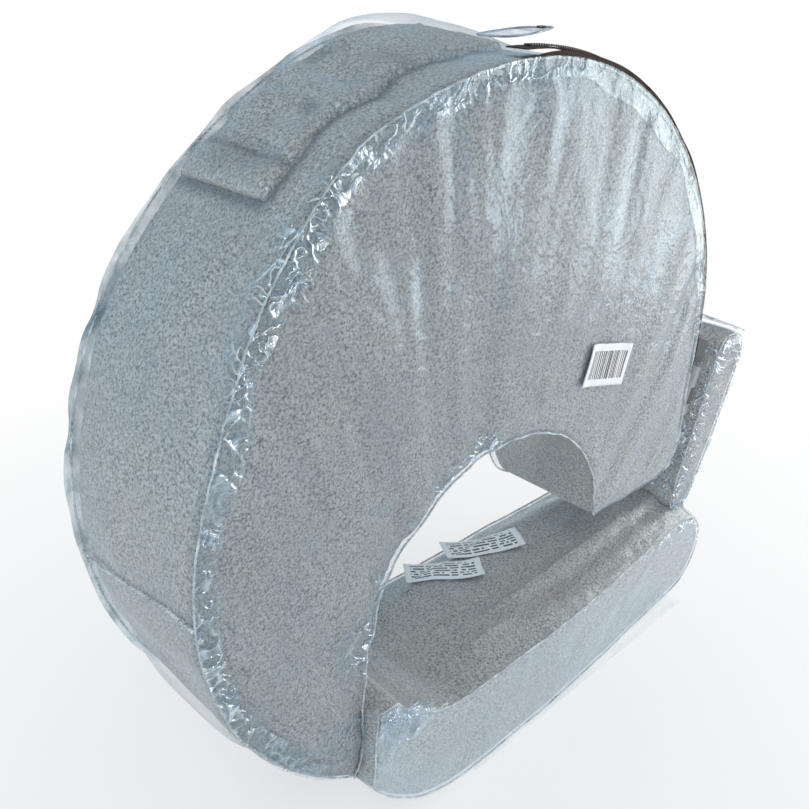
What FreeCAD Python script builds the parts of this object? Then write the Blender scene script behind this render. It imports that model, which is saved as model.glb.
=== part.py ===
import FreeCAD, Part
import math
import os
import Sketcher

# Nursing pillow in its clear zip bag, standing on its backrest with the waist opening down.
# Millimetres. X runs along the backrest, Y from the near face to the far face, Z up.
# The origin is on the face the pillow rests on, directly below the centre of the crescent.

os.makedirs("parts", exist_ok=True)
doc = FreeCAD.newDocument("nursing_pillow")
sheet = doc.addObject("Spreadsheet::Sheet", "Sizes")

SIZES = {
    # crescent: a round outer wall, a smaller round waist opening set lower, and two arm ends
    "outer_radius": 243.5,
    "ring_height": 275,
    "waist_radius": 125.5,
    "waist_height": 155,
    "left_end_x": 134,
    "left_end_top": 160,
    "tip_outer_radius": 54,
    "tip_inner_radius": 51,
    "pillow_thickness": 112,
    # layers, each counted inward from the outside of the plush cover
    "cover_inset": 0,
    "lining_inset": 3,
    "core_inset": 3.5,
    "film_panel_inset": -2,
    "film_ring_inner_inset": -1.8,
    "film_ring_outer_inset": -2.4,
    "bead_inner_inset": -2.7,
    "bead_outer_inset": -4.2,
    "film_thickness": 0.6,
    # backrest: the padded bar under the opening
    "rest_base": 3,
    "rest_height": 83,
    "rest_right_x": 332,
    "rest_depth": 136,
    "valley_x": 30,
    "valley_radius": 90,
    "horn_x": 121,
    "horn_top": 127,
    "heel_x": 127.5,
    "heel_centre_x": 20,
    "heel_radius": 125,
    # wing: the padded end of the backrest, folded up outside the right arm
    "wing_left_x": 271,
    "wing_thickness": 47,
    "wing_base": 84,
    "wing_tall": 180,
    "wing_near_y": -45,
    "wing_depth": 56,
    "wing_corner": 20,
    "wing_lean": 16,
    "wing_hinge_x": 322,
    "wing_hinge_height": 86,
    # clear bag
    "near_film_y": -58.6,
    "far_film_y": 63,
    "rest_film_y": 70,
    "gusset_radius": 248.1,
    "waist_film_radius": 124,
    "bead_radius": 1.1,
    "base_sheet": 0.5,
    # webbing strap and side-release buckle
    "strap_width": 30,
    "strap_centre_y": 33,
    "webbing": 1.4,
    "strap_x": 246.8,
    "strap_top": 236,
    "strap_gap": 4,
    "bar_height": 142,
    "buckle_width": 38,
    # zips
    "tape_width": 16,
    "coil_width": 5,
    "tape_thickness": 0.8,
    # pocket and flaps
    "pocket_width": 72,
    "flap_width": 104,
    "flap_gap": 0.2,
    "flap_thickness": 1.3,
}

for row, (alias, size) in enumerate(SIZES.items(), start=1):
    sheet.set(f"A{row}", alias)
    sheet.set(f"B{row}", str(size))
    sheet.setAlias(f"B{row}", alias)
doc.recompute()

NODES = []
X_AXIS = FreeCAD.Vector(1, 0, 0)
Y_AXIS = FreeCAD.Vector(0, 1, 0)
Z_AXIS = FreeCAD.Vector(0, 0, 1)


def size(alias):
    """The number a cell of the sheet holds."""
    return float(sheet.get(alias))


def vec(across, along, up=0.0):
    return FreeCAD.Vector(across, along, up)


def node(item, label):
    """Names a finished sub-part and puts it on the export list."""
    item.Label = label
    NODES.append(item)
    return item


# ---------------------------------------------------------------- sketches

def origin_plane(body, role):
    return next(item for item in body.Origin.OriginFeatures if item.Role == role)


def front_sketch(body, name, offset=None):
    """A sketch seen from the near side: sketch X is X, sketch Y is Z, and its normal is -Y."""
    sketch = body.newObject("Sketcher::SketchObject", name)
    sketch.AttachmentSupport = (origin_plane(body, "XZ_Plane"), [""])
    sketch.MapMode = "FlatFace"
    if offset is not None:
        sketch.setExpression("AttachmentOffset.Base.z", offset)
    return sketch


class Outline:
    """A closed outline in a sketch, with its sizes bound to the sheet."""

    START, END, CENTRE = 1, 2, 3
    ORIGIN = (-1, 1)

    def __init__(self, sketch):
        self.sketch = sketch
        self.pieces = []

    def line(self, start, end):
        self.pieces.append(self.sketch.addGeometry(Part.LineSegment(vec(*start), vec(*end)), False))
        return self.pieces[-1]

    def arc(self, centre, radius, start_deg, end_deg):
        circle = Part.Circle(vec(*centre), Z_AXIS, radius)
        arc = Part.ArcOfCircle(circle, math.radians(start_deg), math.radians(end_deg))
        self.pieces.append(self.sketch.addGeometry(arc, False))
        return self.pieces[-1]

    def rule(self, kind, *geometry):
        self.sketch.addConstraint(Sketcher.Constraint(kind, *geometry))

    def join(self, *pairs):
        for first, second in pairs:
            self.rule("Coincident", *first, *second)

    def bind(self, kind, name, geometry, value, expression):
        index = self.sketch.addConstraint(Sketcher.Constraint(kind, *geometry, value))
        self.sketch.renameConstraint(index, name)
        self.sketch.setExpression("Constraints." + name, expression)

    def right_of_origin(self, name, point, value, expression):
        self.bind("DistanceX", name, (*self.ORIGIN, *point), value, expression)

    def left_of_origin(self, name, point, value, expression):
        self.bind("DistanceX", name, (*point, *self.ORIGIN), value, expression)

    def above_origin(self, name, point, value, expression):
        self.bind("DistanceY", name, (*self.ORIGIN, *point), value, expression)


def crescent_outline(sketch, layer):
    """The C of the pillow, inset from the cover's outside by the sheet's cell named layer."""
    inset = size(layer)
    cell = "Sizes." + layer
    outer, waist = size("outer_radius") - inset, size("waist_radius") + inset
    ring, hole = size("ring_height"), size("waist_height")
    tip_out, tip_in = size("tip_outer_radius") - inset, size("tip_inner_radius") - inset
    end_x, end_top = size("left_end_x") + inset, size("left_end_top")
    tip_out_x, tip_in_x = outer - tip_out, waist + tip_in
    tip_bottom = hole - tip_in
    end_low = ring - math.sqrt(outer ** 2 - end_x ** 2)
    inner_x = -math.sqrt(waist ** 2 - (end_top - hole) ** 2)
    end_deg = 360 - math.degrees(math.acos(-end_x / outer))
    inner_deg = math.degrees(math.atan2(end_top - hole, inner_x))

    shape = Outline(sketch)
    wall = shape.arc((0, ring), outer, 0, end_deg)
    end = shape.line((-end_x, end_low), (inner_x, end_top))
    opening = shape.arc((0, hole), waist, 0, inner_deg)
    inner_tip = shape.arc((tip_in_x, hole), tip_in, 180, 270)
    bottom = shape.line((tip_in_x, tip_bottom), (tip_out_x, tip_bottom))
    outer_tip = shape.arc((tip_out_x, tip_bottom + tip_out), tip_out, 270, 360)
    side = shape.line((outer, tip_bottom + tip_out), (outer, ring))
    first, last, centre = shape.START, shape.END, shape.CENTRE

    shape.join(((wall, last), (end, first)), ((end, last), (opening, last)),
               ((opening, first), (inner_tip, first)), ((inner_tip, last), (bottom, first)),
               ((bottom, last), (outer_tip, first)), ((outer_tip, last), (side, first)),
               ((side, last), (wall, first)))
    shape.rule("PointOnObject", wall, centre, -2)
    shape.rule("PointOnObject", opening, centre, -2)
    shape.rule("Vertical", side)
    shape.rule("Horizontal", bottom)
    shape.rule("Vertical", inner_tip, centre, inner_tip, last)
    shape.rule("Horizontal", inner_tip, centre, inner_tip, first)
    shape.rule("Vertical", outer_tip, centre, outer_tip, first)
    shape.rule("Horizontal", outer_tip, centre, outer_tip, last)
    shape.above_origin("ring_centre", (wall, centre), ring, "Sizes.ring_height")
    shape.above_origin("ring_side", (wall, first), ring, "Sizes.ring_height")
    shape.above_origin("waist_centre", (opening, centre), hole, "Sizes.waist_height")
    shape.above_origin("waist_side", (opening, first), hole, "Sizes.waist_height")
    shape.above_origin("end_top", (opening, last), end_top, "Sizes.left_end_top")
    shape.left_of_origin("end_low", (wall, last), end_x, f"Sizes.left_end_x + {cell}")
    shape.bind("Radius", "outer", (wall,), outer, f"Sizes.outer_radius - {cell}")
    shape.bind("Radius", "waist", (opening,), waist, f"Sizes.waist_radius + {cell}")
    shape.bind("Radius", "tip_out", (outer_tip,), tip_out, f"Sizes.tip_outer_radius - {cell}")
    shape.bind("Radius", "tip_in", (inner_tip,), tip_in, f"Sizes.tip_inner_radius - {cell}")


def backrest_outline(sketch, layer):
    """The backrest bar: flat below, round right end, and a heel that climbs to the left arm."""
    inset = size(layer)
    cell = "Sizes." + layer
    base, tall = size("rest_base") + inset, size("rest_height") - 2 * inset
    top = base + tall
    round_x = size("rest_right_x") - size("rest_height") / 2
    valley_x, valley = -size("valley_x"), size("valley_radius") + inset
    heel_x, heel = -size("heel_centre_x"), size("heel_radius") - inset
    horn_x, horn_top = -size("horn_x") + inset, size("horn_top") - inset
    heel_left = -size("heel_x") + inset
    valley_z, heel_z = top + valley, base + heel
    slope_x = valley_x - math.sqrt(valley ** 2 - (horn_top - valley_z) ** 2)
    heel_low = heel_z - math.sqrt(heel ** 2 - (heel_left - heel_x) ** 2)
    slope_deg = 360 + math.degrees(math.atan2(horn_top - valley_z, slope_x - valley_x))
    heel_deg = 360 + math.degrees(math.atan2(heel_low - heel_z, heel_left - heel_x))

    shape = Outline(sketch)
    floor = shape.line((heel_x, base), (round_x, base))
    nose = shape.arc((round_x, base + tall / 2), tall / 2, -90, 90)
    seat = shape.line((round_x, top), (valley_x, top))
    slope = shape.arc((valley_x, valley_z), valley, slope_deg, 270)
    horn = shape.line((slope_x, horn_top), (horn_x, horn_top))
    left = shape.line((horn_x, horn_top), (heel_left, heel_low))
    curve = shape.arc((heel_x, heel_z), heel, heel_deg, 270)
    first, last, centre = shape.START, shape.END, shape.CENTRE

    shape.join(((floor, last), (nose, first)), ((nose, last), (seat, first)),
               ((seat, last), (slope, last)), ((slope, first), (horn, first)),
               ((horn, last), (left, first)), ((left, last), (curve, first)),
               ((curve, last), (floor, first)))
    for level in (floor, seat, horn):
        shape.rule("Horizontal", level)
    shape.rule("Vertical", nose, centre, nose, first)
    shape.rule("Vertical", nose, centre, nose, last)
    shape.rule("Vertical", slope, centre, slope, last)
    shape.rule("Vertical", curve, centre, curve, last)
    shape.above_origin("base", (floor, first), base, f"Sizes.rest_base + {cell}")
    shape.above_origin("horn_top", (horn, first), horn_top, f"Sizes.horn_top - {cell}")
    shape.right_of_origin("round_x", (nose, centre), round_x, "Sizes.rest_right_x - Sizes.rest_height / 2")
    shape.left_of_origin("valley_x", (slope, centre), -valley_x, "Sizes.valley_x")
    shape.left_of_origin("heel_centre", (curve, centre), -heel_x, "Sizes.heel_centre_x")
    shape.left_of_origin("horn_x", (horn, last), -horn_x, f"Sizes.horn_x - {cell}")
    shape.left_of_origin("heel_x", (left, last), -heel_left, f"Sizes.heel_x - {cell}")
    shape.bind("Radius", "nose", (nose,), tall / 2, f"Sizes.rest_height / 2 - {cell}")
    shape.bind("Radius", "valley", (slope,), valley, f"Sizes.valley_radius + {cell}")
    shape.bind("Radius", "heel", (curve,), heel, f"Sizes.heel_radius - {cell}")


def wing_outline(sketch, layer):
    """The wing's rounded rectangle, upright; its Placement leans it outward."""
    inset = size(layer)
    cell = "Sizes." + layer
    corner = size("wing_corner") - inset
    left, right = size("wing_left_x") + inset, size("wing_left_x") + size("wing_thickness") - inset
    low, high = size("wing_base") + inset, size("wing_base") + size("wing_tall") - inset

    shape = Outline(sketch)
    bottom = shape.line((left + corner, low), (right - corner, low))
    corners = [shape.arc((right - corner, low + corner), corner, 270, 360)]
    side = shape.line((right, low + corner), (right, high - corner))
    corners.append(shape.arc((right - corner, high - corner), corner, 0, 90))
    top = shape.line((right - corner, high), (left + corner, high))
    corners.append(shape.arc((left + corner, high - corner), corner, 90, 180))
    inner = shape.line((left, high - corner), (left, low + corner))
    corners.append(shape.arc((left + corner, low + corner), corner, 180, 270))
    first, last, centre = shape.START, shape.END, shape.CENTRE

    ring = (bottom, corners[0], side, corners[1], top, corners[2], inner, corners[3])
    for before, after in zip(ring, ring[1:] + ring[:1]):
        shape.join(((before, last), (after, first)))
    for level in (bottom, top):
        shape.rule("Horizontal", level)
    for upright in (side, inner):
        shape.rule("Vertical", upright)
    shape.rule("Vertical", corners[0], centre, corners[0], first)
    shape.rule("Horizontal", corners[0], centre, corners[0], last)
    shape.rule("Horizontal", corners[1], centre, corners[1], first)
    shape.rule("Vertical", corners[1], centre, corners[1], last)
    shape.rule("Vertical", corners[2], centre, corners[2], first)
    shape.rule("Horizontal", corners[2], centre, corners[2], last)
    shape.rule("Horizontal", corners[3], centre, corners[3], first)
    shape.rule("Vertical", corners[3], centre, corners[3], last)
    for number, arc in enumerate(corners):
        shape.bind("Radius", f"corner_{'abcd'[number]}", (arc,), corner, f"Sizes.wing_corner - {cell}")
    shape.right_of_origin("left", (inner, first), left, f"Sizes.wing_left_x + {cell}")
    shape.right_of_origin("right", (side, first), right,
                          f"Sizes.wing_left_x + Sizes.wing_thickness - {cell}")
    shape.above_origin("low", (bottom, first), low, f"Sizes.wing_base + {cell}")
    shape.above_origin("high", (top, first), high, f"Sizes.wing_base + Sizes.wing_tall - {cell}")


# ---------------------------------------------------------------- solid builders

def slab(label, outline, layer, length, middle_y):
    """A plate of one outline, length thick along Y, centred on middle_y; both are expressions."""
    body = doc.addObject("PartDesign::Body", label)
    sketch = front_sketch(body, label + "_outline", f"-({middle_y})")
    outline(sketch, layer)
    pad = body.newObject("PartDesign::Pad", label + "_pad")
    pad.Profile = sketch
    pad.SideType = "Symmetric"
    pad.setExpression("Length", length)
    body.Tip = pad
    return node(body, label)


def band(label, outline, outside, inside, length, middle_y="0"):
    """A closed strip that runs all round an outline, such as a sewn side band or a film wall."""
    body = slab(label, outline, outside, length, middle_y)
    doc.recompute()
    full = body.Shape.Volume
    sketch = front_sketch(body, label + "_hollow", f"-({middle_y})")
    outline(sketch, inside)
    pocket = body.newObject("PartDesign::Pocket", label + "_pocket")
    pocket.Profile = sketch
    pocket.SideType = "Symmetric"
    pocket.setExpression("Length", f"2 * ({length})")
    body.Tip = pocket
    doc.recompute()
    if body.Shape.Volume > 0.5 * full:
        raise ValueError(label + ": the hollow removed too little")
    return body


def on_ring(start_deg, far_y, height="ring_height"):
    """Turns a primitive built about +Z so its axis lies along -Y on the crescent's centre."""
    turn = FreeCAD.Rotation(Y_AXIS, -start_deg) * FreeCAD.Rotation(X_AXIS, 90)
    return FreeCAD.Placement(vec(0, far_y, size(height)), turn)


def arc_strip(label, radius, thickness, width, far_y, start_deg, end_deg, height="ring_height"):
    """A thin strip wrapped on a circle. radius is its outside; angles run from +X towards +Z."""
    outside = doc.addObject("Part::Cylinder", label + "_outside")
    hollow = doc.addObject("Part::Cylinder", label + "_hollow")
    outside.setExpression("Radius", radius)
    hollow.setExpression("Radius", f"{radius} - ({thickness})")
    outside.setExpression("Height", width)
    hollow.setExpression("Height", width)
    outside.Angle = end_deg - start_deg
    outside.Placement = on_ring(start_deg, far_y, height)
    hollow.Placement = outside.Placement
    strip = doc.addObject("Part::Cut", label + "_strip")
    strip.Base = outside
    strip.Tool = hollow
    return node(strip, label)


def weld_bead(label, radius, near_y, start_deg, end_deg, height="ring_height"):
    """The round bead where two film panels are welded, following a circle."""
    bead = doc.addObject("Part::Torus", label + "_torus")
    bead.setExpression("Radius1", radius)
    bead.setExpression("Radius2", "Sizes.bead_radius")
    bead.Angle3 = end_deg - start_deg
    bead.Placement = on_ring(start_deg, near_y, height)
    return node(bead, label)


def block(name, corner, spans):
    """A box from its lowest corner. Each span is a number or an expression on the sheet."""
    box = doc.addObject("Part::Box", name)
    for side, span in zip(("Length", "Width", "Height"), spans):
        if isinstance(span, str):
            box.setExpression(side, span)
        else:
            setattr(box, side, span)
    box.Placement.Base = vec(*corner)
    return box


def cut(name, base, tool):
    item = doc.addObject("Part::Cut", name)
    item.Base = base
    item.Tool = tool
    return item


def fuse(name, *pieces):
    item = doc.addObject("Part::MultiFuse", name)
    item.Shapes = list(pieces)
    return item


def rounded(name, base, radius, direction):
    """Rounds the straight edges of base that run along a direction."""
    doc.recompute()
    edges = [number for number, edge in enumerate(base.Shape.Edges, start=1)
             if abs(edge.tangentAt(edge.FirstParameter).dot(direction)) > 0.999]
    item = doc.addObject("Part::Fillet", name)
    item.Base = base
    item.Edges = [(number, radius, radius) for number in edges]
    return item


# ---------------------------------------------------------------- the crescent and its cover

def crescent():
    thick = "Sizes.pillow_thickness"
    skin = "Sizes.lining_inset"
    slab("crescent_foam_core", crescent_outline, "core_inset", f"{thick} - 2 * Sizes.core_inset", "0")
    slab("cover_near_panel", crescent_outline, "cover_inset", skin, f"{skin} / 2 - {thick} / 2")
    slab("cover_far_panel", crescent_outline, "cover_inset", skin, f"{thick} / 2 - {skin} / 2")
    band("cover_side_band", crescent_outline, "cover_inset", "lining_inset", f"{thick} - 2 * {skin}")


def pocket():
    """The stretch pocket on the outer wall, upper left, and the bound edge of its mouth."""
    far_edge_y = 50
    start_deg, mouth_deg, end_deg = 88, 130, 132.6
    cloth, hem = 2.4, 2.9
    clear = 0.3
    arc_strip("pocket_panel", f"Sizes.outer_radius + {clear + cloth}", f"{cloth}", "Sizes.pocket_width",
              far_edge_y, start_deg, mouth_deg)
    arc_strip("pocket_binding", f"Sizes.outer_radius + {clear + hem}", f"{hem}", "Sizes.pocket_width",
              far_edge_y, mouth_deg + 0.1, end_deg)


def hinge_flap():
    """Fabric flap sewn under the left arm; it bends where the backrest swings."""
    cloth, clear = 1.5, 0.3
    start_deg, end_deg = 214, 236
    arc_strip("hinge_flap", f"Sizes.outer_radius + {clear + cloth}", f"{cloth}", "Sizes.flap_width",
              size("flap_width") / 2, start_deg, end_deg)


def cover_zip():
    """The zip across the far panel that lets the foam core out of its cover."""
    face = size("pillow_thickness") / 2
    height = 418
    tape_half = 95
    coil_end = 4
    tape_y, coil_y, slider_y, pull_y = face + 0.2, face + 1.2, face + 2.6, face + 5.2
    coil_thick = 1.2
    slider_x, slider_long, slider_thick, slider_tall = -86, 11, 2.4, 9
    pull_x, pull_long, pull_thick, pull_tall = -88, 24, 1.0, 6
    slider_corner, pull_corner = 2, 2.5
    tape = block("cover_tape_box", (-tape_half, tape_y, height - size("tape_width") / 2),
                 (2 * tape_half, "Sizes.tape_thickness", "Sizes.tape_width"))
    node(tape, "cover_zip_tape")
    coil = block("cover_coil_box", (coil_end - tape_half, coil_y, height - size("coil_width") / 2),
                 (2 * (tape_half - coil_end), coil_thick, "Sizes.coil_width"))
    node(coil, "cover_zip_coil")
    slider = block("cover_slider_box", (slider_x, slider_y, height - slider_tall / 2),
                   (slider_long, slider_thick, slider_tall))
    node(rounded("cover_slider_round", slider, slider_corner, Y_AXIS), "cover_zip_slider")
    pull = block("cover_pull_box", (pull_x, pull_y, height - pull_tall / 2),
                 (pull_long, pull_thick, pull_tall))
    node(rounded("cover_pull_round", pull, pull_corner, Y_AXIS), "cover_zip_pull")


# ---------------------------------------------------------------- the strap and its buckle

def strap():
    """Webbing sewn to the right arm. It turns round the buckle's bar and back up to its keeper."""
    width = "Sizes.strap_width"
    low_y = size("strap_centre_y") - size("strap_width") / 2
    near_x, web, gap = size("strap_x"), size("webbing"), size("strap_gap")
    top, bar = size("strap_top"), size("bar_height")
    bar_x = near_x + web + gap / 2
    folded = 2 * web + gap
    tail_long = 80
    anchor_clear, anchor_above, anchor_thick, anchor_tall = 0.3, 4, 2.6, 26

    anchor = block("anchor_box", (size("outer_radius") + anchor_clear, low_y, top + anchor_above),
                   (anchor_thick, width, anchor_tall))
    node(anchor, "strap_anchor_patch")

    main = block("strap_main", (near_x, low_y, bar), ("Sizes.webbing", width, top - bar))
    tail = block("strap_tail", (near_x + web + gap, low_y, bar), ("Sizes.webbing", width, tail_long))
    turn_out = doc.addObject("Part::Cylinder", "strap_turn_outside")
    turn_in = doc.addObject("Part::Cylinder", "strap_turn_hollow")
    turn_out.setExpression("Radius", "Sizes.strap_gap / 2 + Sizes.webbing")
    turn_in.setExpression("Radius", "Sizes.strap_gap / 2")
    half_turn = FreeCAD.Rotation(Y_AXIS, 180) * FreeCAD.Rotation(X_AXIS, 90)
    for cylinder in (turn_out, turn_in):
        cylinder.setExpression("Height", width)
        cylinder.Placement = FreeCAD.Placement(vec(bar_x, low_y + size("strap_width"), bar), half_turn)
    turn_out.Angle = 180
    node(fuse("strap_fused", main, tail, cut("strap_turn", turn_out, turn_in)), "strap_webbing")
    keeper(near_x, low_y, bar, folded)
    tongue(bar_x, bar)


def keeper(near_x, low_y, bar, folded):
    """The ring that holds the folded webbing together; it slides along the strap."""
    above_bar, tall = 14, 22
    wall_x, wall_y = 2.1, 4
    slack_x, slack_y = 0.5, 0.8
    over_cut = 4
    corner = 2
    outside = block("keeper_outside", (near_x - wall_x, low_y - wall_y, bar + above_bar),
                    (folded + 2 * wall_x, f"Sizes.strap_width + {2 * wall_y}", tall))
    hollow = block("keeper_hollow", (near_x - slack_x, low_y - slack_y, bar + above_bar - over_cut),
                   (folded + 2 * slack_x, f"Sizes.strap_width + {2 * slack_y}", tall + 2 * over_cut))
    node(cut("keeper_cut", rounded("keeper_round", outside, corner, Z_AXIS), hollow), "strap_keeper")


def tongue(bar_x, bar):
    """The buckle's tongue: a bar for the webbing, two cheeks, a guide and two springy prongs."""
    half = size("buckle_width") / 2
    centre_y = size("strap_centre_y")
    pin_radius = 1.5
    thick = 5
    cheek, cheek_tall, cheek_drop = 3, 15, 12
    bridge_tall, bridge_drop = 8, 16
    reach = 40
    guide_thick, guide_wide, guide_tall = 3, 6, 26
    prong_thick, prong_wide, prong_tall = 4, 3, 23.6
    root_off, barb_wide, barb_tall = 13, 4.5, 9

    bar_pin = doc.addObject("Part::Cylinder", "tongue_bar")
    bar_pin.Radius = pin_radius
    bar_pin.setExpression("Height", "Sizes.buckle_width")
    bar_pin.Placement = FreeCAD.Placement(vec(bar_x, centre_y + half, bar), FreeCAD.Rotation(X_AXIS, 90))
    pieces = [bar_pin]
    for word, cheek_y in (("near", centre_y - half), ("far", centre_y + half - cheek)):
        pieces.append(block(f"tongue_cheek_{word}", (bar_x - thick / 2, cheek_y, bar - cheek_drop),
                            (thick, cheek, cheek_tall)))
    pieces.append(block("tongue_bridge", (bar_x - thick / 2, centre_y - half, bar - bridge_drop),
                        (thick, 2 * half, bridge_tall)))
    pieces.append(block("tongue_guide", (bar_x - guide_thick / 2, centre_y - guide_wide / 2, bar - reach),
                        (guide_thick, guide_wide, guide_tall)))
    node(fuse("tongue_fused", *pieces), "buckle_tongue")

    for word, root_y, barb_shift in (("near", centre_y - root_off, -barb_wide),
                                     ("far", centre_y + root_off, 0)):
        arm = block(f"prong_{word}_arm", (bar_x - prong_thick / 2, root_y - prong_wide / 2, bar - reach),
                    (prong_thick, prong_wide, prong_tall))
        barb = block(f"prong_{word}_barb", (bar_x - prong_thick / 2, root_y + barb_shift, bar - reach),
                     (prong_thick, barb_wide, barb_tall))
        node(fuse(f"prong_{word}_fused", arm, barb), f"buckle_prong_{word}")


# ---------------------------------------------------------------- the backrest and its wing

def backrest():
    depth = "Sizes.rest_depth"
    skin = "Sizes.lining_inset"
    slab("backrest_foam_core", backrest_outline, "core_inset", f"{depth} - 2 * Sizes.core_inset", "0")
    slab("backrest_near_panel", backrest_outline, "cover_inset", skin, f"{skin} / 2 - {depth} / 2")
    slab("backrest_far_panel", backrest_outline, "cover_inset", skin, f"{depth} / 2 - {skin} / 2")
    band("backrest_side_band", backrest_outline, "cover_inset", "lining_inset", f"{depth} - 2 * {skin}")


def care_labels():
    """Two satin labels that lie on the backrest's inner face, turned a little."""
    top = size("rest_base") + size("rest_height")
    satin = 0.5
    for word, centre, spans, lift, turn_deg in (("lower", (46, 34), (66, 26), 0.2, -38),
                                                ("upper", (98, 36), (72, 26), 0.9, -28)):
        label = block(f"label_{word}", (0, 0, 0), (*spans, satin))
        turn = FreeCAD.Rotation(Z_AXIS, turn_deg)
        middle = turn.multVec(vec(spans[0] / 2, spans[1] / 2))
        label.Placement = FreeCAD.Placement(vec(*centre, top + lift) - middle, turn)
        node(label, f"care_label_{word}")


def wing_flap():
    """The strip of cover fabric that joins the wing to the backrest's round end."""
    nose = size("rest_height") / 2
    start_deg, sweep_deg = -38, 24
    side_gap = 4
    strip = doc.addObject("Part::Cylinder", "flap_outside")
    hollow = doc.addObject("Part::Cylinder", "flap_hollow")
    strip.setExpression("Radius", "Sizes.rest_height / 2 + Sizes.flap_gap + Sizes.flap_thickness")
    hollow.setExpression("Radius", "Sizes.rest_height / 2 + Sizes.flap_gap")
    turn = FreeCAD.Rotation(Y_AXIS, start_deg) * FreeCAD.Rotation(X_AXIS, 90)
    strip.Angle = sweep_deg
    for cylinder in (strip, hollow):
        cylinder.setExpression("Height", f"Sizes.wing_depth - {2 * side_gap}")
        cylinder.Placement = FreeCAD.Placement(
            vec(size("rest_right_x") - nose, size("wing_near_y") + size("wing_depth") - side_gap,
                size("rest_base") + nose), turn)
    node(cut("flap_strip", strip, hollow), "wing_flap")


def lean(item):
    """Leans a sub-part of the wing outward about the wing's hinge line."""
    hinge = vec(size("wing_hinge_x"), 0, size("wing_hinge_height"))
    turn = FreeCAD.Rotation(Y_AXIS, size("wing_lean"))
    tilt = FreeCAD.Placement(hinge - turn.multVec(hinge), turn)
    item.Placement = tilt.multiply(item.Placement)
    return item


def wing():
    near, depth = "Sizes.wing_near_y", "Sizes.wing_depth"
    skin = "Sizes.lining_inset"
    middle = f"{near} + {depth} / 2"
    for item in (slab("wing_foam_core", wing_outline, "core_inset", f"{depth} - 2 * Sizes.core_inset", middle),
                 slab("wing_near_panel", wing_outline, "cover_inset", skin, f"{near} + {skin} / 2"),
                 slab("wing_far_panel", wing_outline, "cover_inset", skin, f"{near} + {depth} - {skin} / 2"),
                 band("wing_side_band", wing_outline, "cover_inset", "lining_inset",
                      f"{depth} - 2 * {skin}", middle)):
        lean(item)


def buckle_socket():
    """The buckle's socket on its short loop, inside the wing's top, facing the right arm."""
    middle_y = size("wing_near_y") + size("wing_depth") / 2
    face = size("wing_left_x")
    half = size("buckle_width") / 2
    patch_off, patch_thick, patch_base, patch_tall = 3, 2.6, 232, 20
    shell_off, shell_thick, shell_base, shell_tall, corner = 16, 12, 182, 46, 4
    wall, mouth_thick, mouth_drop, mouth_tall = 3, 6, 6, 42
    window_off, window_thick, window_base, window_tall, over_cut = 13.5, 7, 192, 16, 1

    patch = block("loop_patch", (face - patch_off, middle_y - size("strap_width") / 2, patch_base),
                  (patch_thick, "Sizes.strap_width", patch_tall))
    node(lean(patch), "socket_loop_patch")
    outside = block("socket_outside", (face - shell_off, middle_y - half, shell_base),
                    (shell_thick, "Sizes.buckle_width", shell_tall))
    shell = rounded("socket_round", outside, corner, Z_AXIS)
    mouth = block("socket_mouth", (face - shell_off + wall, middle_y - half + wall, shell_base - mouth_drop),
                  (mouth_thick, 2 * (half - wall), mouth_tall))
    windows = block("socket_windows", (face - window_off, middle_y - half - over_cut, window_base),
                    (window_thick, 2 * (half + over_cut), window_tall))
    socket = cut("socket_cut", cut("socket_hollowed", shell, mouth), windows)
    node(lean(socket), "buckle_socket")


# ---------------------------------------------------------------- the clear bag

def bag():
    film = "Sizes.film_thickness"
    near, far, rest = "Sizes.near_film_y", "Sizes.far_film_y", "Sizes.rest_film_y"
    slab("bag_near_panel", crescent_outline, "film_panel_inset", film, f"{near} + {film} / 2")
    slab("bag_far_panel", crescent_outline, "film_panel_inset", film, f"{far} + {film} / 2")
    slab("bag_rest_near_panel", backrest_outline, "cover_inset", film, f"-{rest} - {film} / 2")
    slab("bag_rest_far_panel", backrest_outline, "cover_inset", film, f"{rest} + {film} / 2")
    band("bag_rest_gusset", backrest_outline, "film_ring_outer_inset", "film_ring_inner_inset", f"2 * {rest}")
    bead = 1.4
    for word, sign in (("near", "-"), ("far", "")):
        band(f"bag_rest_{word}_bead", backrest_outline, "film_ring_outer_inset", "cover_inset", f"{bead}",
             f"{sign}({rest} + {bead})")

    near_y, far_y = size("near_film_y"), size("far_film_y")
    wall_gap = 1.2
    wall = f"{far} - {near} - 3"
    outer_arc, waist_arc = (0, 228), (2, 176)
    arc_strip("bag_outer_gusset", "Sizes.gusset_radius", film, wall, far_y - wall_gap, *outer_arc)
    arc_strip("bag_waist_gusset", "Sizes.waist_film_radius", film, wall, far_y - wall_gap, *waist_arc,
              "waist_height")
    for word, bead_y in (("near", near_y + 0.3), ("far", far_y + 0.3)):
        weld_bead(f"{word}_outer_weld_bead", "Sizes.gusset_radius - 0.8", bead_y, *outer_arc)
        weld_bead(f"{word}_waist_weld_bead", "Sizes.waist_film_radius - 2.1", bead_y, *waist_arc,
                  "waist_height")
    base_long = 305
    base = block("base_sheet_box", (-size("heel_centre_x"), -size("rest_film_y"), 0),
                 (base_long, "2 * Sizes.rest_film_y", "Sizes.base_sheet"))
    node(base, "bag_base_panel")


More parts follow.
